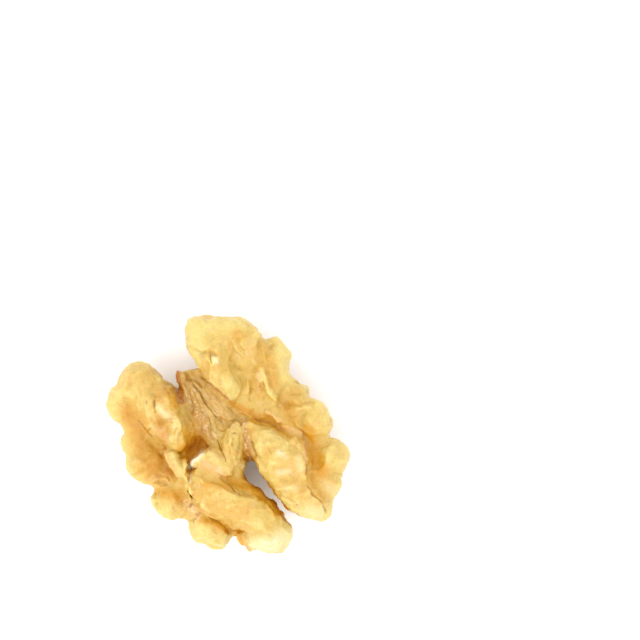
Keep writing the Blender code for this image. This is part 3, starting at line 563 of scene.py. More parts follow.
class CarvedMesh:
    """A mesh held as rows of numbers, so that whole regions can be worked at once.

    Attributes:
        mesh: The mesh that the rows were read from.
        places: The place of each point, in mm.
        edges: The two points that each edge joins.
        degree: How many edges meet at each point.
    """

    def __init__(self, mesh: bpy.types.Mesh) -> None:
        """Reads the mesh.

        Args:
            mesh: The mesh to work on.
        """
        self.mesh = mesh
        self.places = np.empty((len(mesh.vertices), 3))
        mesh.vertices.foreach_get("co", self.places.ravel())
        self.places /= MM
        self.edges = np.empty((len(mesh.edges), 2), np.int32)
        mesh.edges.foreach_get("vertices", self.edges.ravel())
        self.degree = np.bincount(self.edges.ravel(), minlength=len(self.places))

    def normals(self) -> np.ndarray:
        """Puts the places back into the mesh.

        Returns:
            The mesh's normal at each point.
        """
        self.mesh.vertices.foreach_set("co", (self.places * MM).ravel())
        self.mesh.update()
        rows = np.empty((len(self.places), 3))
        self.mesh.vertex_normals.foreach_get("vector", rows.ravel())
        return rows

    def relaxed(self, values: np.ndarray, passes: int) -> np.ndarray:
        """Evens out values over the surface.

        Args:
            values: One row for each point.
            passes: How often each value moves halfway to the mean of its neighbours.

        Returns:
            The evened values.
        """
        first, second = self.edges.T
        count = len(self.degree)
        rows = np.array(values, float).reshape(count, -1)
        for _ in range(passes):
            for column in rows.T:
                total = np.bincount(first, column[second], count)
                total += np.bincount(second, column[first], count)
                column += 0.5 * (total / self.degree - column)
        return rows.reshape(np.shape(values))

    def hollows(self, passes: int) -> np.ndarray:
        """Measures how deep each point lies below the evened surface, in mm.

        Args:
            passes: How far the surface is evened.

        Returns:
            The depths. They are negative on crests.
        """
        offset = self.relaxed(self.places, passes) - self.places
        return np.einsum("ij,ij->i", offset, self.normals())

    def tree(self) -> BVHTree:
        """Makes a search tree of the faces, in mm."""
        faces = [tuple(face.vertices) for face in self.mesh.polygons]
        return BVHTree.FromPolygons(self.places.tolist(), faces)

    def under_open_sky(self, tree: BVHTree) -> np.ndarray:
        """Finds the points with nothing above them.

        Args:
            tree: The search tree of this mesh.

        Returns:
            1 for a point on the open upper face and 0 for one below, with a soft border.
        """
        normals = self.normals()
        starts = self.places + 0.05 * normals
        up = Vector((0.0, 0.0, 1.0))
        seen = np.array(
            [
                normal[2] > 0.02 and tree.ray_cast(Vector(start), up)[0] is None
                for start, normal in zip(starts, normals)
            ],
            float,
        )
        return self.relaxed(seen, 4)

    def exposure(self, tree: BVHTree, rays: int = 40, reach: float = 7.0) -> np.ndarray:
        """Measures how much of the space round each point is free.

        Args:
            tree: The search tree of this mesh.
            rays: How many directions are tried.
            reach: How far off a face still hides a point, in mm.

        Returns:
            The free share, from 0 in a deep pit to 1 on a bare crest.
        """
        turns = np.arange(rays) * math.pi * (3.0 - math.sqrt(5.0))
        heights = 1.0 - (2.0 * np.arange(rays) + 1.0) / rays
        flat = np.sqrt(1.0 - heights**2)
        ways = np.column_stack((flat * np.cos(turns), flat * np.sin(turns), heights))
        normals = self.normals()
        starts = [Vector(row) for row in self.places + 0.08 * normals]
        free = np.zeros(len(starts))
        total = np.zeros(len(starts))
        for way in ways:
            facing = normals @ way
            ray = Vector(way)
            for index in np.flatnonzero(facing > 0.2):
                total[index] += facing[index]
                if tree.ray_cast(starts[index], ray, reach)[0] is None:
                    free[index] += facing[index]
        return self.relaxed(free / np.maximum(total, 1e-6), 2)

    def noise(self, size: float, seed: float) -> np.ndarray:
        """Draws smooth random values over the surface.

        Args:
            size: The size of the patches, in mm.
            seed: Moves the pattern, so that two of them differ.

        Returns:
            Values between about -1 and 1.
        """
        return self.noise_at(self.places / size + seed)

    @staticmethod
    def noise_at(rows: np.ndarray) -> np.ndarray:
        """Draws smooth random values, one for each row.

        Args:
            rows: Places, counted in patches.

        Returns:
            Values between about -1 and 1.
        """
        return np.array([noise.noise(Vector(row)) for row in rows])

    def keep_colours(self, name: str, columns: tuple[np.ndarray, ...]) -> None:
        """Stores up to three values of each point in the mesh, for its material.

        Args:
            name: The name that the material reads them by.
            columns: The values, each from 0 to 1.
        """
        layer = self.mesh.attributes.new(name, "FLOAT_COLOR", "POINT")
        rows = np.ones((len(self.places), 4))
        for index, column in enumerate(columns):
            rows[:, index] = np.clip(column, 0.0, 1.0)
        layer.data.foreach_set("color", rows.ravel())


class Wiring:
    """The node sheet of one material, with short ways to add and join its nodes."""

    def __init__(self, name: str) -> None:
        """Starts an empty material.

        Args:
            name: The name of the material.
        """
        self.material = bpy.data.materials.new(name)
        self.material.use_nodes = True
        self.tree = self.material.node_tree
        self.tree.nodes.clear()

    def node(self, kind: str, inputs: dict[str, object], **settings: object) -> bpy.types.Node:
        """Adds a node.

        Args:
            kind: The node's type.
            inputs: The value or the output that goes into each of its sockets.
            settings: Its other settings.

        Returns:
            The node.
        """
        made = self.tree.nodes.new(kind)
        for key, value in settings.items():
            setattr(made, key, value)
        for key, value in inputs.items():
            socket = made.inputs[int(key)] if key.isdigit() else made.inputs[key]
            if isinstance(value, bpy.types.NodeSocket):
                self.tree.links.new(value, socket)
            else:
                socket.default_value = value
        return made

    def noise(
        self,
        where: bpy.types.NodeSocket,
        size: float,
        detail: float = 3.0,
        roughness: float = 0.55,
        distortion: float = 0.0,
    ) -> bpy.types.NodeSocket:
        """Adds a cloudy pattern.

        Args:
            where: The coordinates it is laid out in, in metres.
            size: The size of its largest patches, in mm.
            detail: How many finer layers it has.
            roughness: How strong the finer layers are.
            distortion: How far its edges curl.

        Returns:
            Values between 0 and 1.
        """
        inputs = {
            "Vector": where,
            "Scale": 1.0 / (size * MM),
            "Detail": detail,
            "Roughness": roughness,
            "Distortion": distortion,
        }
        return self.node("ShaderNodeTexNoise", inputs).outputs["Fac"]

    def ramp(
        self, value: bpy.types.NodeSocket, low: float, high: float, bottom: float = 0.0, top: float = 1.0
    ) -> bpy.types.NodeSocket:
        """Eases a value from one range to another.

        Args:
            value: The value to ease.
            low: The value that gives the bottom.
            high: The value that gives the top.
            bottom: What comes out at or below low.
            top: What comes out at or above high.

        Returns:
            The eased value.
        """
        inputs = {"Value": value, "From Min": low, "From Max": high, "To Min": bottom, "To Max": top}
        made = self.node("ShaderNodeMapRange", inputs, interpolation_type="SMOOTHSTEP")
        return made.outputs["Result"]

    def maths(self, operation: str, *values: object) -> bpy.types.NodeSocket:
        """Works out one sum.

        Args:
            operation: The name of the sum.
            values: Its numbers or outputs.

        Returns:
            The result.
        """
        inputs = {str(index): value for index, value in enumerate(values)}
        return self.node("ShaderNodeMath", inputs, operation=operation).outputs[0]

    def mixed(self, share: object, under: object, over: object) -> bpy.types.NodeSocket:
        """Lays one colour over another.

        Args:
            share: How much of the upper colour shows.
            under: The lower colour.
            over: The upper colour.

        Returns:
            The colour.
        """
        made = self.node("ShaderNodeMix", {}, data_type="RGBA")
        for index, value in ((0, share), (6, under), (7, over)):
            if isinstance(value, bpy.types.NodeSocket):
                self.tree.links.new(value, made.inputs[index])
            else:
                made.inputs[index].default_value = value
        return made.outputs[2]

    def split(self, name: str) -> tuple[bpy.types.NodeSocket, ...]:
        """Reads three stored values of the surface.

        Args:
            name: The name they are stored under.

        Returns:
            The three values.
        """
        stored = self.node("ShaderNodeAttribute", {}, attribute_name=name).outputs["Color"]
        parts = self.node("ShaderNodeSeparateColor", {"Color": stored})
        return tuple(parts.outputs[name] for name in ("Red", "Green", "Blue"))

    def bumped(
        self, height: bpy.types.NodeSocket, strength: float, depth: float, normal: object = None
    ) -> bpy.types.NodeSocket:
        """Turns heights into a bumpy normal.

        Args:
            height: The heights, from 0 to 1.
            strength: How strongly they show.
            depth: How high 1 stands, in mm.
            normal: The normal that they are laid on, if it is bumpy already.

        Returns:
            The normal.
        """
        inputs = {"Height": height, "Strength": strength, "Distance": depth * MM}
        if normal is not None:
            inputs["Normal"] = normal
        return self.node("ShaderNodeBump", inputs).outputs["Normal"]


@dataclass(frozen=True)
class Pellicle:
    """The thin skin of the kernel: pale on crests, orange in the valleys, a little oily. The pale of the
    crests is partly painted light and the orange of the valleys partly painted shade.

    Attributes:
        pale: The colour of full crests, which is partly painted light.
        straw: The greener colour that most of the skin has in places.
        honey: The colour of most of the skin.
        amber: The colour of the valleys, which is partly painted shade.
        rust: The painted shade of the deepest hollows.
        umber: The colour of torn edges and dark specks, and of painted shade on some flanks and hollows.
        blush: The pinkish colour of worn crests.
        cream: The colour of painted soft highlights, which also rims the bare flesh.
        flesh: The colour of the bare flesh and of painted highlights.
        fibre: The colour of the fibrous tongue.
        seam: The colour of cracks and veins, and of painted shade in creases and at the foot of steps.
    """

    pale: Colour = (0.56, 0.458, 0.150, 1.0)
    straw: Colour = (0.50, 0.345, 0.080, 1.0)
    honey: Colour = (0.50, 0.308, 0.064, 1.0)
    amber: Colour = (0.48, 0.236, 0.010, 1.0)
    rust: Colour = (0.44, 0.165, 0.006, 1.0)
    umber: Colour = (0.31, 0.100, 0.005, 1.0)
    blush: Colour = (0.57, 0.355, 0.150, 1.0)
    cream: Colour = (0.66, 0.56, 0.34, 1.0)
    flesh: Colour = (0.68, 0.62, 0.44, 1.0)
    fibre: Colour = (0.43, 0.280, 0.072, 1.0)
    seam: Colour = (0.17, 0.062, 0.009, 1.0)

    def material(self) -> bpy.types.Material:
        """Builds the skin's material.

        Returns:
            The material.
        """
        sheet = Wiring("pellicle")
        where = sheet.node("ShaderNodeTexCoord", {}).outputs["Object"]
        curl = sheet.node(
            "ShaderNodeTexNoise", {"Vector": where, "Scale": 900.0, "Detail": 2.0}
        ).outputs["Color"]
        bend = {"0": curl, "1": (0.0008, 0.0008, 0.0008), "2": where}
        bent = sheet.node("ShaderNodeVectorMath", bend, operation="MULTIPLY_ADD").outputs["Vector"]
        fine, broad, open_share = sheet.split("relief")
        orange, brown, chipped_and_highlit = sheet.split("warm")
        pink, light, fibrous = sheet.split("light")
        cracks_and_shade, crumbly, _ = sheet.split("marks")

        clouds = sheet.noise(bent, 3.2, 4.0, 0.6)
        patches = sheet.noise(bent, 4.6, 5.0, 0.65)
        mottle = sheet.noise(bent, 0.9, 4.0, 0.6)
        grain = sheet.noise(where, 0.28, 3.0, 0.6)
        streaks = self.streaks(sheet, where)

        # colour runs from pale crests to orange hollows: partly the skin's own, partly painted light on
        # crests and painted shade in broad hollows and small creases
        height = sheet.maths("MULTIPLY_ADD", clouds, 0.50, broad)
        height = sheet.maths("MULTIPLY_ADD", mottle, 0.30, height)
        plain = sheet.mixed(sheet.ramp(patches, 0.40, 0.60), self.straw, self.honey)
        colour = sheet.mixed(sheet.ramp(height, 0.62, 0.88), self.pale, plain)
        colour = sheet.mixed(sheet.ramp(height, 0.98, 1.34), colour, self.amber)
        # painted shade: orange, then dark orange-brown, where little of the space round a point is free
        depth = sheet.maths("MULTIPLY_ADD", mottle, -0.20, open_share)
        colour = sheet.mixed(sheet.ramp(depth, 0.62, 0.24), colour, self.amber)
        colour = sheet.mixed(sheet.ramp(fine, 0.60, 0.95, 0.0, 0.45), colour, self.amber)

        # tints laid on by region, broken up by the mottling; the pale tint is partly painted light and
        # the orange partly painted shade
        rough_edge = sheet.maths("MULTIPLY_ADD", mottle, 0.9, -0.45)
        for amount, tint, most in (
            (light, self.pale, 0.85),
            (orange, self.amber, 0.95),
            (fibrous, self.fibre, 0.75),
            (pink, self.blush, 0.70),
        ):
            share = sheet.maths("MULTIPLY_ADD", rough_edge, amount, amount)
            colour = sheet.mixed(sheet.ramp(share, 0.05, 0.95, 0.0, most), colour, tint)

        # streaks along the fibres, veins, blots and pinkish grains; the pinkish grains keep to open
        # places and are partly a painted highlight
        dark_streak = sheet.maths("MULTIPLY", sheet.ramp(streaks, 0.50, 0.30, 0.0, 0.55), fibrous)
        colour = sheet.mixed(dark_streak, colour, self.umber)
        light_streak = sheet.maths("MULTIPLY", sheet.ramp(streaks, 0.55, 0.72, 0.0, 0.60), fibrous)
        colour = sheet.mixed(light_streak, colour, self.blush)
        veins = self.veins(sheet, bent)
        colour = sheet.mixed(sheet.maths("MULTIPLY", veins, 0.30), colour, self.umber)
        blots = sheet.ramp(sheet.noise(bent, 0.55, 2.0, 0.5), 0.66, 0.80, 0.0, 0.40)
        colour = sheet.mixed(blots, colour, self.amber)
        lights = sheet.ramp(sheet.noise(bent, 1.0, 4.0, 0.6, 0.4), 0.54, 0.72, 0.0, 0.60)
        lights = sheet.maths("MULTIPLY", lights, sheet.ramp(orange, 0.15, 0.80, 1.0, 0.15))
        colour = sheet.mixed(sheet.maths("MULTIPLY", lights, open_share), colour, self.blush)
        # painted shade: the deepest, most hidden hollows darken to orange-brown
        colour = sheet.mixed(sheet.ramp(depth, 0.46, 0.16, 0.0, 0.75), colour, self.rust)
        # brown tint: torn edges and the tongue's tip, and painted shade on some flanks and hollows
        share = sheet.maths("MULTIPLY_ADD", rough_edge, brown, brown)
        colour = sheet.mixed(sheet.ramp(share, 0.05, 0.95, 0.0, 0.90), colour, self.umber)
        specks = sheet.ramp(sheet.noise(where, 0.33, 1.0, 0.5), 0.74, 0.80, 0.0, 0.5)
        colour = sheet.mixed(specks, colour, self.umber)
        colour = sheet.mixed(sheet.ramp(grain, 0.44, 0.66, 0.0, 0.16), colour, self.umber)

        # crumbs, cracks, bare flesh and painted highlights; creases and the foot of steps get painted
        # shade with the cracks
        crumbs = sheet.noise(where, 0.42, 2.0, 0.6)
        light_crumb = sheet.maths("MULTIPLY", sheet.ramp(crumbs, 0.50, 0.62, 0.0, 0.75), crumbly)
        colour = sheet.mixed(light_crumb, colour, self.flesh)
        dark_crumb = sheet.maths("MULTIPLY", sheet.ramp(crumbs, 0.42, 0.33, 0.0, 0.75), crumbly)
        colour = sheet.mixed(dark_crumb, colour, self.umber)
        broken = sheet.ramp(sheet.noise(where, 0.5, 3.0, 0.7), 0.35, 0.60, 0.25, 1.0)
        # dark lines: the cracks, and painted shade in creases and at the foot of steps
        cracks = sheet.maths("MULTIPLY", sheet.ramp(cracks_and_shade, 0.10, 0.90, 0.0, 0.60), broken)
        colour = sheet.mixed(cracks, colour, self.seam)
        # painted soft highlights in cream, round the bright spots and round the bare flesh
        colour = sheet.mixed(sheet.ramp(chipped_and_highlit, 0.0, 0.60, 0.0, 0.72), colour, self.cream)
        # bare flesh colour on the chips and on the painted highlight spots
        chips = sheet.maths("MULTIPLY_ADD", sheet.noise(where, 0.5, 3.0, 0.7), 0.8, chipped_and_highlit)
        colour = sheet.mixed(sheet.ramp(chips, 0.85, 1.05), colour, self.flesh)

        normal = sheet.bumped(mottle, 0.55, 0.12)
        normal = sheet.bumped(sheet.maths("MULTIPLY", streaks, fibrous), 0.6, 0.14, normal)
        normal = sheet.bumped(grain, 0.45, 0.07, normal)
        normal = sheet.bumped(veins, 0.12, 0.10, normal)
        roughness = sheet.ramp(sheet.noise(bent, 1.3, 4.0, 0.65), 0.25, 0.75, 0.36, 0.66)
        skin = sheet.node(
            "ShaderNodeBsdfPrincipled",
            {
                "Base Color": colour,
                "Roughness": roughness,
                "Normal": normal,
                "Specular IOR Level": sheet.ramp(open_share, 0.25, 0.75, 0.06, 0.32),
                "Subsurface Weight": 0.42,
                "Subsurface Radius": (1.0, 0.45, 0.14),
                "Subsurface Scale": 0.0011,
                "Coat Weight": sheet.ramp(open_share, 0.40, 0.85, 0.0, 0.10),
                "Coat Roughness": 0.28,
            },
        )
        sheet.node("ShaderNodeOutputMaterial", {"Surface": skin.outputs["BSDF"]})
        return sheet.material

    def streaks(self, sheet: Wiring, where: bpy.types.NodeSocket) -> bpy.types.NodeSocket:
        """Adds long streaks that run the way the tongue does.

        Args:
            sheet: The node sheet.
            where: The coordinates of the surface.

        Returns:
            Values between 0 and 1.
        """
        drawn_out = sheet.node(
            "ShaderNodeMapping", {"Vector": where, "Scale": (1.0, 0.13, 0.7)}
        ).outputs["Vector"]
        return sheet.noise(drawn_out, 0.55, 4.0, 0.62, 0.3)

    def veins(self, sheet: Wiring, where: bpy.types.NodeSocket) -> bpy.types.NodeSocket:
        """Adds a net of fine veins.

        Args:
            sheet: The node sheet.
            where: The coordinates of the surface.

        Returns:
            1 in the middle of a vein and 0 beside it.
        """
        swing = sheet.maths("SUBTRACT", sheet.noise(where, 4.2, 5.0, 0.5, 0.5), 0.5)
        line = sheet.ramp(sheet.maths("ABSOLUTE", swing), 0.011, 0.0)
        gaps = sheet.ramp(sheet.noise(where, 2.4, 2.0), 0.44, 0.60)
        return sheet.maths("MULTIPLY", line, gaps)


@dataclass
class KernelHalf:
    """The half kernel, finely carved.

    Attributes:
        solid: The plain solid whose form it keeps.
        page: The sketch page that its lines are drawn on.
        voxel: The size of its faces, in mm.
        most_triangles: How many triangles it may have.
        wander: How far a drawn line strays, in mm.
        grain: The size and height of each layer of small unevenness, in mm.
        nudge_reach: How far round its point a shift of a fold works, in mm.
        edge_reach: The same for a shift of an edge, in mm.
        fibre_size: How wide, long and deep the fibres of the tongue are, in mm.
        torn_depth: How far fibres and crumbs rise and sink, in mm.
        wrinkle_depth: How high a wrinkle stands, in mm.
        fine_passes: How far the surface is evened to find its small hollows.
        broad_passes: The same for its broad hollows.
    """

    solid: bpy.types.Object
    page: SketchPage = field(default_factory=SketchPage)
    voxel: float = 0.14
    most_triangles: int = 190_000
    wander: float = 0.12
    grain: tuple[tuple[float, float], ...] = ((2.4, 0.22), (1.2, 0.16), (0.6, 0.09), (0.36, 0.04))
    nudge_reach: float = 1.6
    edge_reach: float = 0.75
    fibre_size: tuple[float, float, float] = (0.42, 3.2, 0.9)
    torn_depth: float = 0.16
    wrinkle_depth: float = 0.12
    fine_passes: int = 14
    broad_passes: int = 300

    def build(self, finish: Pellicle) -> bpy.types.Object:
        """Makes the fine piece.

        Args:
            finish: Its skin.

        Returns:
            The piece.
        """
        piece = self.refined()
        carved = CarvedMesh(piece.data)
        low, high = carved.places.min(axis=0), carved.places.max(axis=0)
        self.nudge(carved, NUDGES, self.nudge_reach)
        self.nudge(carved, EDGE_NUDGES, self.edge_reach)
        carved.normals()
        upper = carved.under_open_sky(carved.tree())
        cracks_and_shade = self.carve(carved, upper)
        self.roughen(carved, upper)
        low[2] = 0.0
        carved.places = np.clip(carved.places, low, high)
        self.tint(carved, upper, cracks_and_shade)
        self.thin(piece)
        for face in piece.data.polygons:
            face.use_smooth = True
        piece.data.materials.clear()
        piece.data.materials.append(finish.material())
        return piece

    def refined(self) -> bpy.types.Object:
        """Copies the solid and gives the copy small even faces.

        Returns:
            The copy.
        """
        mesh = self.solid.data.copy()
        sheet = bmesh.new()
        sheet.from_mesh(mesh)
        bmesh.ops.remove_doubles(sheet, verts=sheet.verts, dist=0.001 * MM)
        sheet.to_mesh(mesh)
        sheet.free()
        piece = bpy.data.objects.new("kernel_skin", mesh)
        bpy.context.scene.collection.objects.link(piece)
        rounding = piece.modifiers.new("rounding", "SUBSURF")
        rounding.levels = rounding.render_levels = 1
        even = piece.modifiers.new("even faces", "REMESH")
        even.mode = "VOXEL"
        even.voxel_size = self.voxel * MM
        calm = piece.modifiers.new("calm", "SMOOTH")
        calm.iterations = 6
        return self.applied(piece)

    def applied(self, piece: bpy.types.Object) -> bpy.types.Object:
        """Turns the modifiers of a piece into its own faces.

        Args:
            piece: The piece.

        Returns:
            The same piece.
        """
        graph = bpy.context.evaluated_depsgraph_get()
        mesh = bpy.data.meshes.new_from_object(piece.evaluated_get(graph), depsgraph=graph)
        piece.modifiers.clear()
        piece.data = mesh
        return piece

    def carve(self, carved: CarvedMesh, upper: np.ndarray) -> np.ndarray:
        """Works the drawn lines into the upper face.

        Args:
            carved: The mesh.
            upper: Which points lie on the upper face.

        Returns:
            How dark the lines leave each point, from 0 to 1: the cracks are dark lines of their own,
            creases and the foot of each step get painted shade.
        """
        self.lift(carved, upper)
        normals = carved.normals()
        where = self.page.from_frame(carved.places * MM)
        where[:, 0] += self.wander * carved.noise(1.3, 11.0)
        where[:, 1] += self.wander * carved.noise(1.3, 37.0)
        move = np.zeros(len(where))
        cracks_and_shade = np.zeros(len(where))
        for stroke in STROKES:
            if stroke.mark is Mark.LIFT:
                continue
            near, distance, side, along = self.beside(where, stroke.line, 4.0 * stroke.width)
            taper = smoothstep(0.0, 0.14, along) * smoothstep(1.0, 0.86, along)
            bell = np.exp(-((distance / stroke.width) ** 2)) * taper
            if stroke.mark is Mark.RIDGE:
                move[near] += stroke.depth * bell
            elif stroke.mark is Mark.CREASE:
                move[near] -= stroke.depth * bell
                # painted shade in the crease
                cracks_and_shade[near] = np.maximum(cracks_and_shade[near], 0.25 * bell)
            elif stroke.mark is Mark.CRACK:
                move[near] -= stroke.depth * bell
                cracks_and_shade[near] = np.maximum(cracks_and_shade[near], bell)
            else:
                fade = np.exp(-((distance / (3.0 * stroke.width)) ** 2)) * taper
                move[near] -= 0.5 * stroke.depth * np.tanh(side * distance / stroke.width) * fade
                # painted shadow at the foot of the step
                cracks_and_shade[near] = np.maximum(cracks_and_shade[near], 0.4 * bell * (side > 0))
        carved.places += normals * (move * upper)[:, None]
        return cracks_and_shade * upper

    def lift(self, carved: CarvedMesh, upper: np.ndarray) -> None:
        """Moves the broad rises and dips of the upper face straight up and down.

        Args:
            carved: The mesh.
            upper: Which points lie on the upper face.
        """
        where = self.page.from_frame(carved.places * MM)
        rise = np.zeros(len(where))
        for stroke in STROKES:
            if stroke.mark is Mark.LIFT:
                near, distance, _, _ = self.beside(where, stroke.line, 2.6 * stroke.width)
                rise[near] += stroke.depth * np.exp(-((distance / stroke.width) ** 2))
        carved.places[:, 2] += rise * upper

    def nudge(self, carved: CarvedMesh, nudges: tuple[Nudge, ...], reach: float) -> None:
        """Shifts the folds a little across the page, to where the drawn lines expect them.

        Args:
            carved: The mesh.
            nudges: The shifts.
            reach: How far round its point a shift works, in mm.
        """
        where = self.page.from_frame(carved.places * MM)
        shift = np.zeros_like(where)
        total = np.zeros(len(where))
        for (x, y), (to_x, to_y) in nudges:
            share = np.exp(-((where[:, 0] - x) ** 2 + (where[:, 1] - y) ** 2) / (2.0 * reach**2))
            shift += share[:, None] * np.array((to_x - x, to_y - y))
            total += share
        shift /= np.maximum(total, 0.7)[:, None]
        shift *= smoothstep(1.5, 5.0, carved.places[:, 2])[:, None]
        east, north = self.page.turned(shift[:, 0], shift[:, 1])
        carved.places[:, 0] += east
        carved.places[:, 1] += north

    def beside(
        self, where: np.ndarray, line: Line, reach: float
    ) -> tuple[np.ndarray, np.ndarray, np.ndarray, np.ndarray]:
        """Finds the points near a line of the page.

        Args:
            where: Each point's place on the page, in mm.
            line: The line.
            reach: How far from the line to look, in mm.

        Returns:
            Which points are near, how far off each is, 1 for the right-hand side of the line
            and -1 for the left, and how far along the line each lies, from 0 to 1.
        """
        curve = drawn(line)
        inside = (where > curve.min(axis=0) - reach) & (where < curve.max(axis=0) + reach)
        near = np.flatnonzero(inside.all(axis=1))
        offset = where[near, None, :] - curve[None, :, :]
        squares = np.einsum("ijk,ijk->ij", offset, offset)
        closest = squares.argmin(axis=1)
        distance = np.sqrt(squares[np.arange(len(near)), closest])
        heading = np.gradient(curve, axis=0)[closest] if len(curve) > 1 else np.ones((len(near), 2))
        gap = offset[np.arange(len(near)), closest]
        side = np.sign(heading[:, 1] * gap[:, 0] - heading[:, 0] * gap[:, 1])
        keep = distance < reach
        along = closest / max(1, len(curve) - 1)
        return near[keep], distance[keep], side[keep], along[keep]

    def roughen(self, carved: CarvedMesh, upper: np.ndarray) -> None:
        """Gives the whole skin small dents, bumps and wrinkles.

        Args:
            carved: The mesh.
            upper: Which points lie on the upper face.
        """
        normals = carved.normals()
        move = np.zeros(len(carved.places))
        for number, (size, height) in enumerate(self.grain):
            move += height * carved.noise(size, 5.0 + 13.0 * number)
        fibrous = self.amount(carved, upper, Tint.FIBRE)
        crumbly = self.amount(carved, upper, Tint.CRUMB)
        along = CarvedMesh.noise_at(carved.places / np.array(self.fibre_size) + 23.0)
        move += self.torn_depth * fibrous * along
        move += self.torn_depth * crumbly * carved.noise(0.42, 51.0)
        wrinkle = 1.0 - 2.0 * np.abs(carved.noise(2.6, 71.0))
        move += self.wrinkle_depth * smoothstep(0.55, 1.0, wrinkle)
        keep_flat = smoothstep(0.15, 1.0, carved.places[:, 2])
        carved.places += normals * (move * keep_flat)[:, None]

    def tint(self, carved: CarvedMesh, upper: np.ndarray, cracks_and_shade: np.ndarray) -> None:
        """Stores the relief and the tints for the skin's material; the material paints light and shade
        from the relief, and some tints are painted light and shade.

        Args:
            carved: The mesh.
            upper: Which points lie on the upper face.
            cracks_and_shade: How dark the lines leave each point, with painted shade in creases and at
                the foot of steps.
        """
        fine = 0.5 + 2.5 * carved.hollows(self.fine_passes)
        broad = 0.5 + 0.45 * carved.hollows(self.broad_passes)
        free = carved.exposure(carved.tree())
        carved.keep_colours("relief", (fine, broad, free))
        amounts = {tint: self.amount(carved, upper, tint) for tint in Tint}
        carved.keep_colours("warm", (amounts[Tint.AMBER], amounts[Tint.UMBER], amounts[Tint.FLESH]))
        carved.keep_colours("light", (amounts[Tint.BLUSH], amounts[Tint.PALE], amounts[Tint.FIBRE]))
        carved.keep_colours("marks", (cracks_and_shade, amounts[Tint.CRUMB]))

    def amount(self, carved: CarvedMesh, upper: np.ndarray, tint: Tint) -> np.ndarray:
        """Finds how much of one tint each point gets.

        Args:
            carved: The mesh.
            upper: Which points lie on the upper face.
            tint: The tint.

        Returns:
            The amounts, from 0 to 1.
        """
        where = self.page.from_frame(carved.places * MM)
        amount = np.zeros(len(where))
        for wash in (wash for wash in WASHES if wash.tint is tint):
            near, distance, _, _ = self.beside(where, wash.line, 2.5 * wash.width)
            bell = wash.strength * np.exp(-((distance / wash.width) ** 2))
            amount[near] = np.maximum(amount[near], bell * upper[near])
        return amount

    def thin(self, piece: bpy.types.Object) -> None:
        """Merges faces where the skin is plain, down to the number allowed.

        Args:
            piece: The piece.
        """
        count = sum(len(face.vertices) - 2 for face in piece.data.polygons)
        if count <= self.most_triangles:
            return
        merge = piece.modifiers.new("merge", "DECIMATE")
        merge.ratio = self.most_triangles / count
        self.applied(piece)


@dataclass(frozen=True)
class Paper:
    """The pale matt finish of the floor.

    Attributes:
        colour: Its colour.
    """

    colour: Colour = (0.90, 0.895, 0.915, 1.0)

    def material(self) -> bpy.types.Material:
        """Builds the floor's material.

        Returns:
            The material.
        """
        sheet = Wiring("paper")
        surface = sheet.node(
            "ShaderNodeBsdfPrincipled",
            {"Base Color": self.colour, "Roughness": 0.9, "Specular IOR Level": 0.2},
        )
        sheet.node("ShaderNodeOutputMaterial", {"Surface": surface.outputs["BSDF"]})
        return sheet.material


@dataclass(frozen=True)
class Floor:
    """The sheet of paper that the kernel lies on.

    Attributes:
        width: The length of its sides, in metres.
    """

    width: float = 1.6

    def build(self, finish: Paper) -> bpy.types.Object:
        """Lays the sheet.

        Args:
            finish: Its finish.

        Returns:
            The sheet.
        """
        half = self.width / 2.0
        mesh = bpy.data.meshes.new("floor")
        corners = [(-half, -half, 0.0), (half, -half, 0.0), (half, half, 0.0), (-half, half, 0.0)]
        mesh.from_pydata(corners, [], [(0, 1, 2, 3)])
        mesh.materials.append(finish.material())
        floor = bpy.data.objects.new("floor", mesh)
        bpy.context.scene.collection.objects.link(floor)
        return floor


@dataclass(frozen=True)
class SoftLight:
    """A large soft lamp.

    Attributes:
        name: What it is called.
        bearing: Where it stands round the kernel on the page, in degrees from page right.
        height: How high it stands above the floor, in degrees.
        distance: How far off it stands, in metres.
        width: The length of its sides, in metres.
        power: Its power, in watts.
    """

    name: str
    bearing: float
    height: float
    distance: float
    width: float
    power: float

    def build(self, page: SketchPage) -> bpy.types.Object:
        """Sets the lamp up.

        Args:
            page: The page that the bearing is measured on.

        Returns:
            The lamp.
        """
        lamp = bpy.data.lights.new(self.name, "AREA")
        lamp.energy = self.power
        lamp.size = self.width
        placed = bpy.data.objects.new(self.name, lamp)
        turn = math.radians(self.bearing + page.turn)
        rise = math.radians(self.height)
        placed.location = Vector(
            (math.cos(turn) * math.cos(rise), math.sin(turn) * math.cos(rise), math.sin(rise))
        ) * self.distance
        placed.rotation_euler = placed.location.to_track_quat("Z", "Y").to_euler()
        bpy.context.scene.collection.objects.link(placed)
        return placed


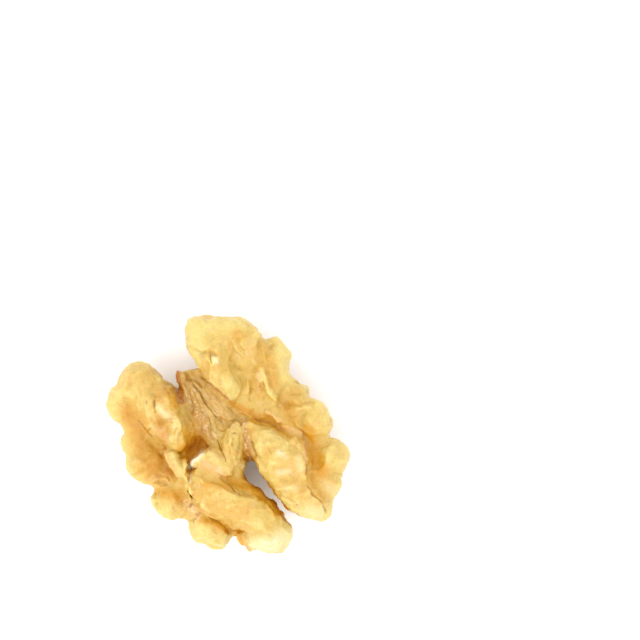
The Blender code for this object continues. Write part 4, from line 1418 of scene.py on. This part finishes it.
@dataclass(frozen=True)
class Daylight:
    """Even white light from all round.

    Attributes:
        colour: Its colour.
        strength: How bright it is.
    """

    colour: Colour = (1.0, 0.985, 0.985, 1.0)
    strength: float = 1.60

    def build(self) -> None:
        """Fills the world with the light."""
        world = bpy.data.worlds.new("daylight")
        world.use_nodes = True
        background = world.node_tree.nodes["Background"]
        background.inputs["Color"].default_value = self.colour
        background.inputs["Strength"].default_value = self.strength
        bpy.context.scene.world = world


@dataclass(frozen=True)
class OverheadCamera:
    """The camera, looking straight down.

    Attributes:
        aim: The point of the page that it looks at, in mm.
        level: The height at which its field is measured, in metres.
        distance: How far above that level it hangs, in metres.
        field: The width that it sees at that level, in metres.
    """

    aim: tuple[float, float] = (12.604, 15.618)
    level: float = 0.006
    distance: float = 1.0
    field: float = 0.0877

    def build(self, page: SketchPage) -> bpy.types.Object:
        """Hangs the camera.

        Args:
            page: The page that it is aimed at.

        Returns:
            The camera.
        """
        lens = bpy.data.cameras.new("overhead")
        lens.sensor_width = 36.0
        lens.lens = lens.sensor_width * self.distance / self.field
        lens.clip_end = 20.0
        camera = bpy.data.objects.new("overhead", lens)
        camera.location = (*page.to_frame(*self.aim), self.level + self.distance)
        camera.rotation_euler = (0.0, 0.0, math.radians(page.turn))
        bpy.context.scene.collection.objects.link(camera)
        bpy.context.scene.camera = camera
        return camera


def main() -> None:
    """Builds the kernel, its floor, its light and its camera, in that order."""
    logging.basicConfig(level=logging.INFO, format="%(message)s")
    noise.seed_set(PATTERN)
    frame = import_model()
    page = SketchPage()

    piece = KernelHalf(frame["nodes"]["kernel"], page).build(Pellicle())
    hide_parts("kernel")
    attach(piece, "root")
    log.info("kernel: %d points, %d faces", len(piece.data.vertices), len(piece.data.polygons))

    Floor().build(Paper())
    log.info("floor laid")

    Daylight().build()
    SoftLight("key", bearing=-125.0, height=58.0, distance=1.2, width=0.9, power=7.5).build(page)
    OverheadCamera().build(page)
    bpy.context.scene.view_settings.view_transform = "Standard"
    log.info("light and camera set")


if __name__ == "__main__":
    main()
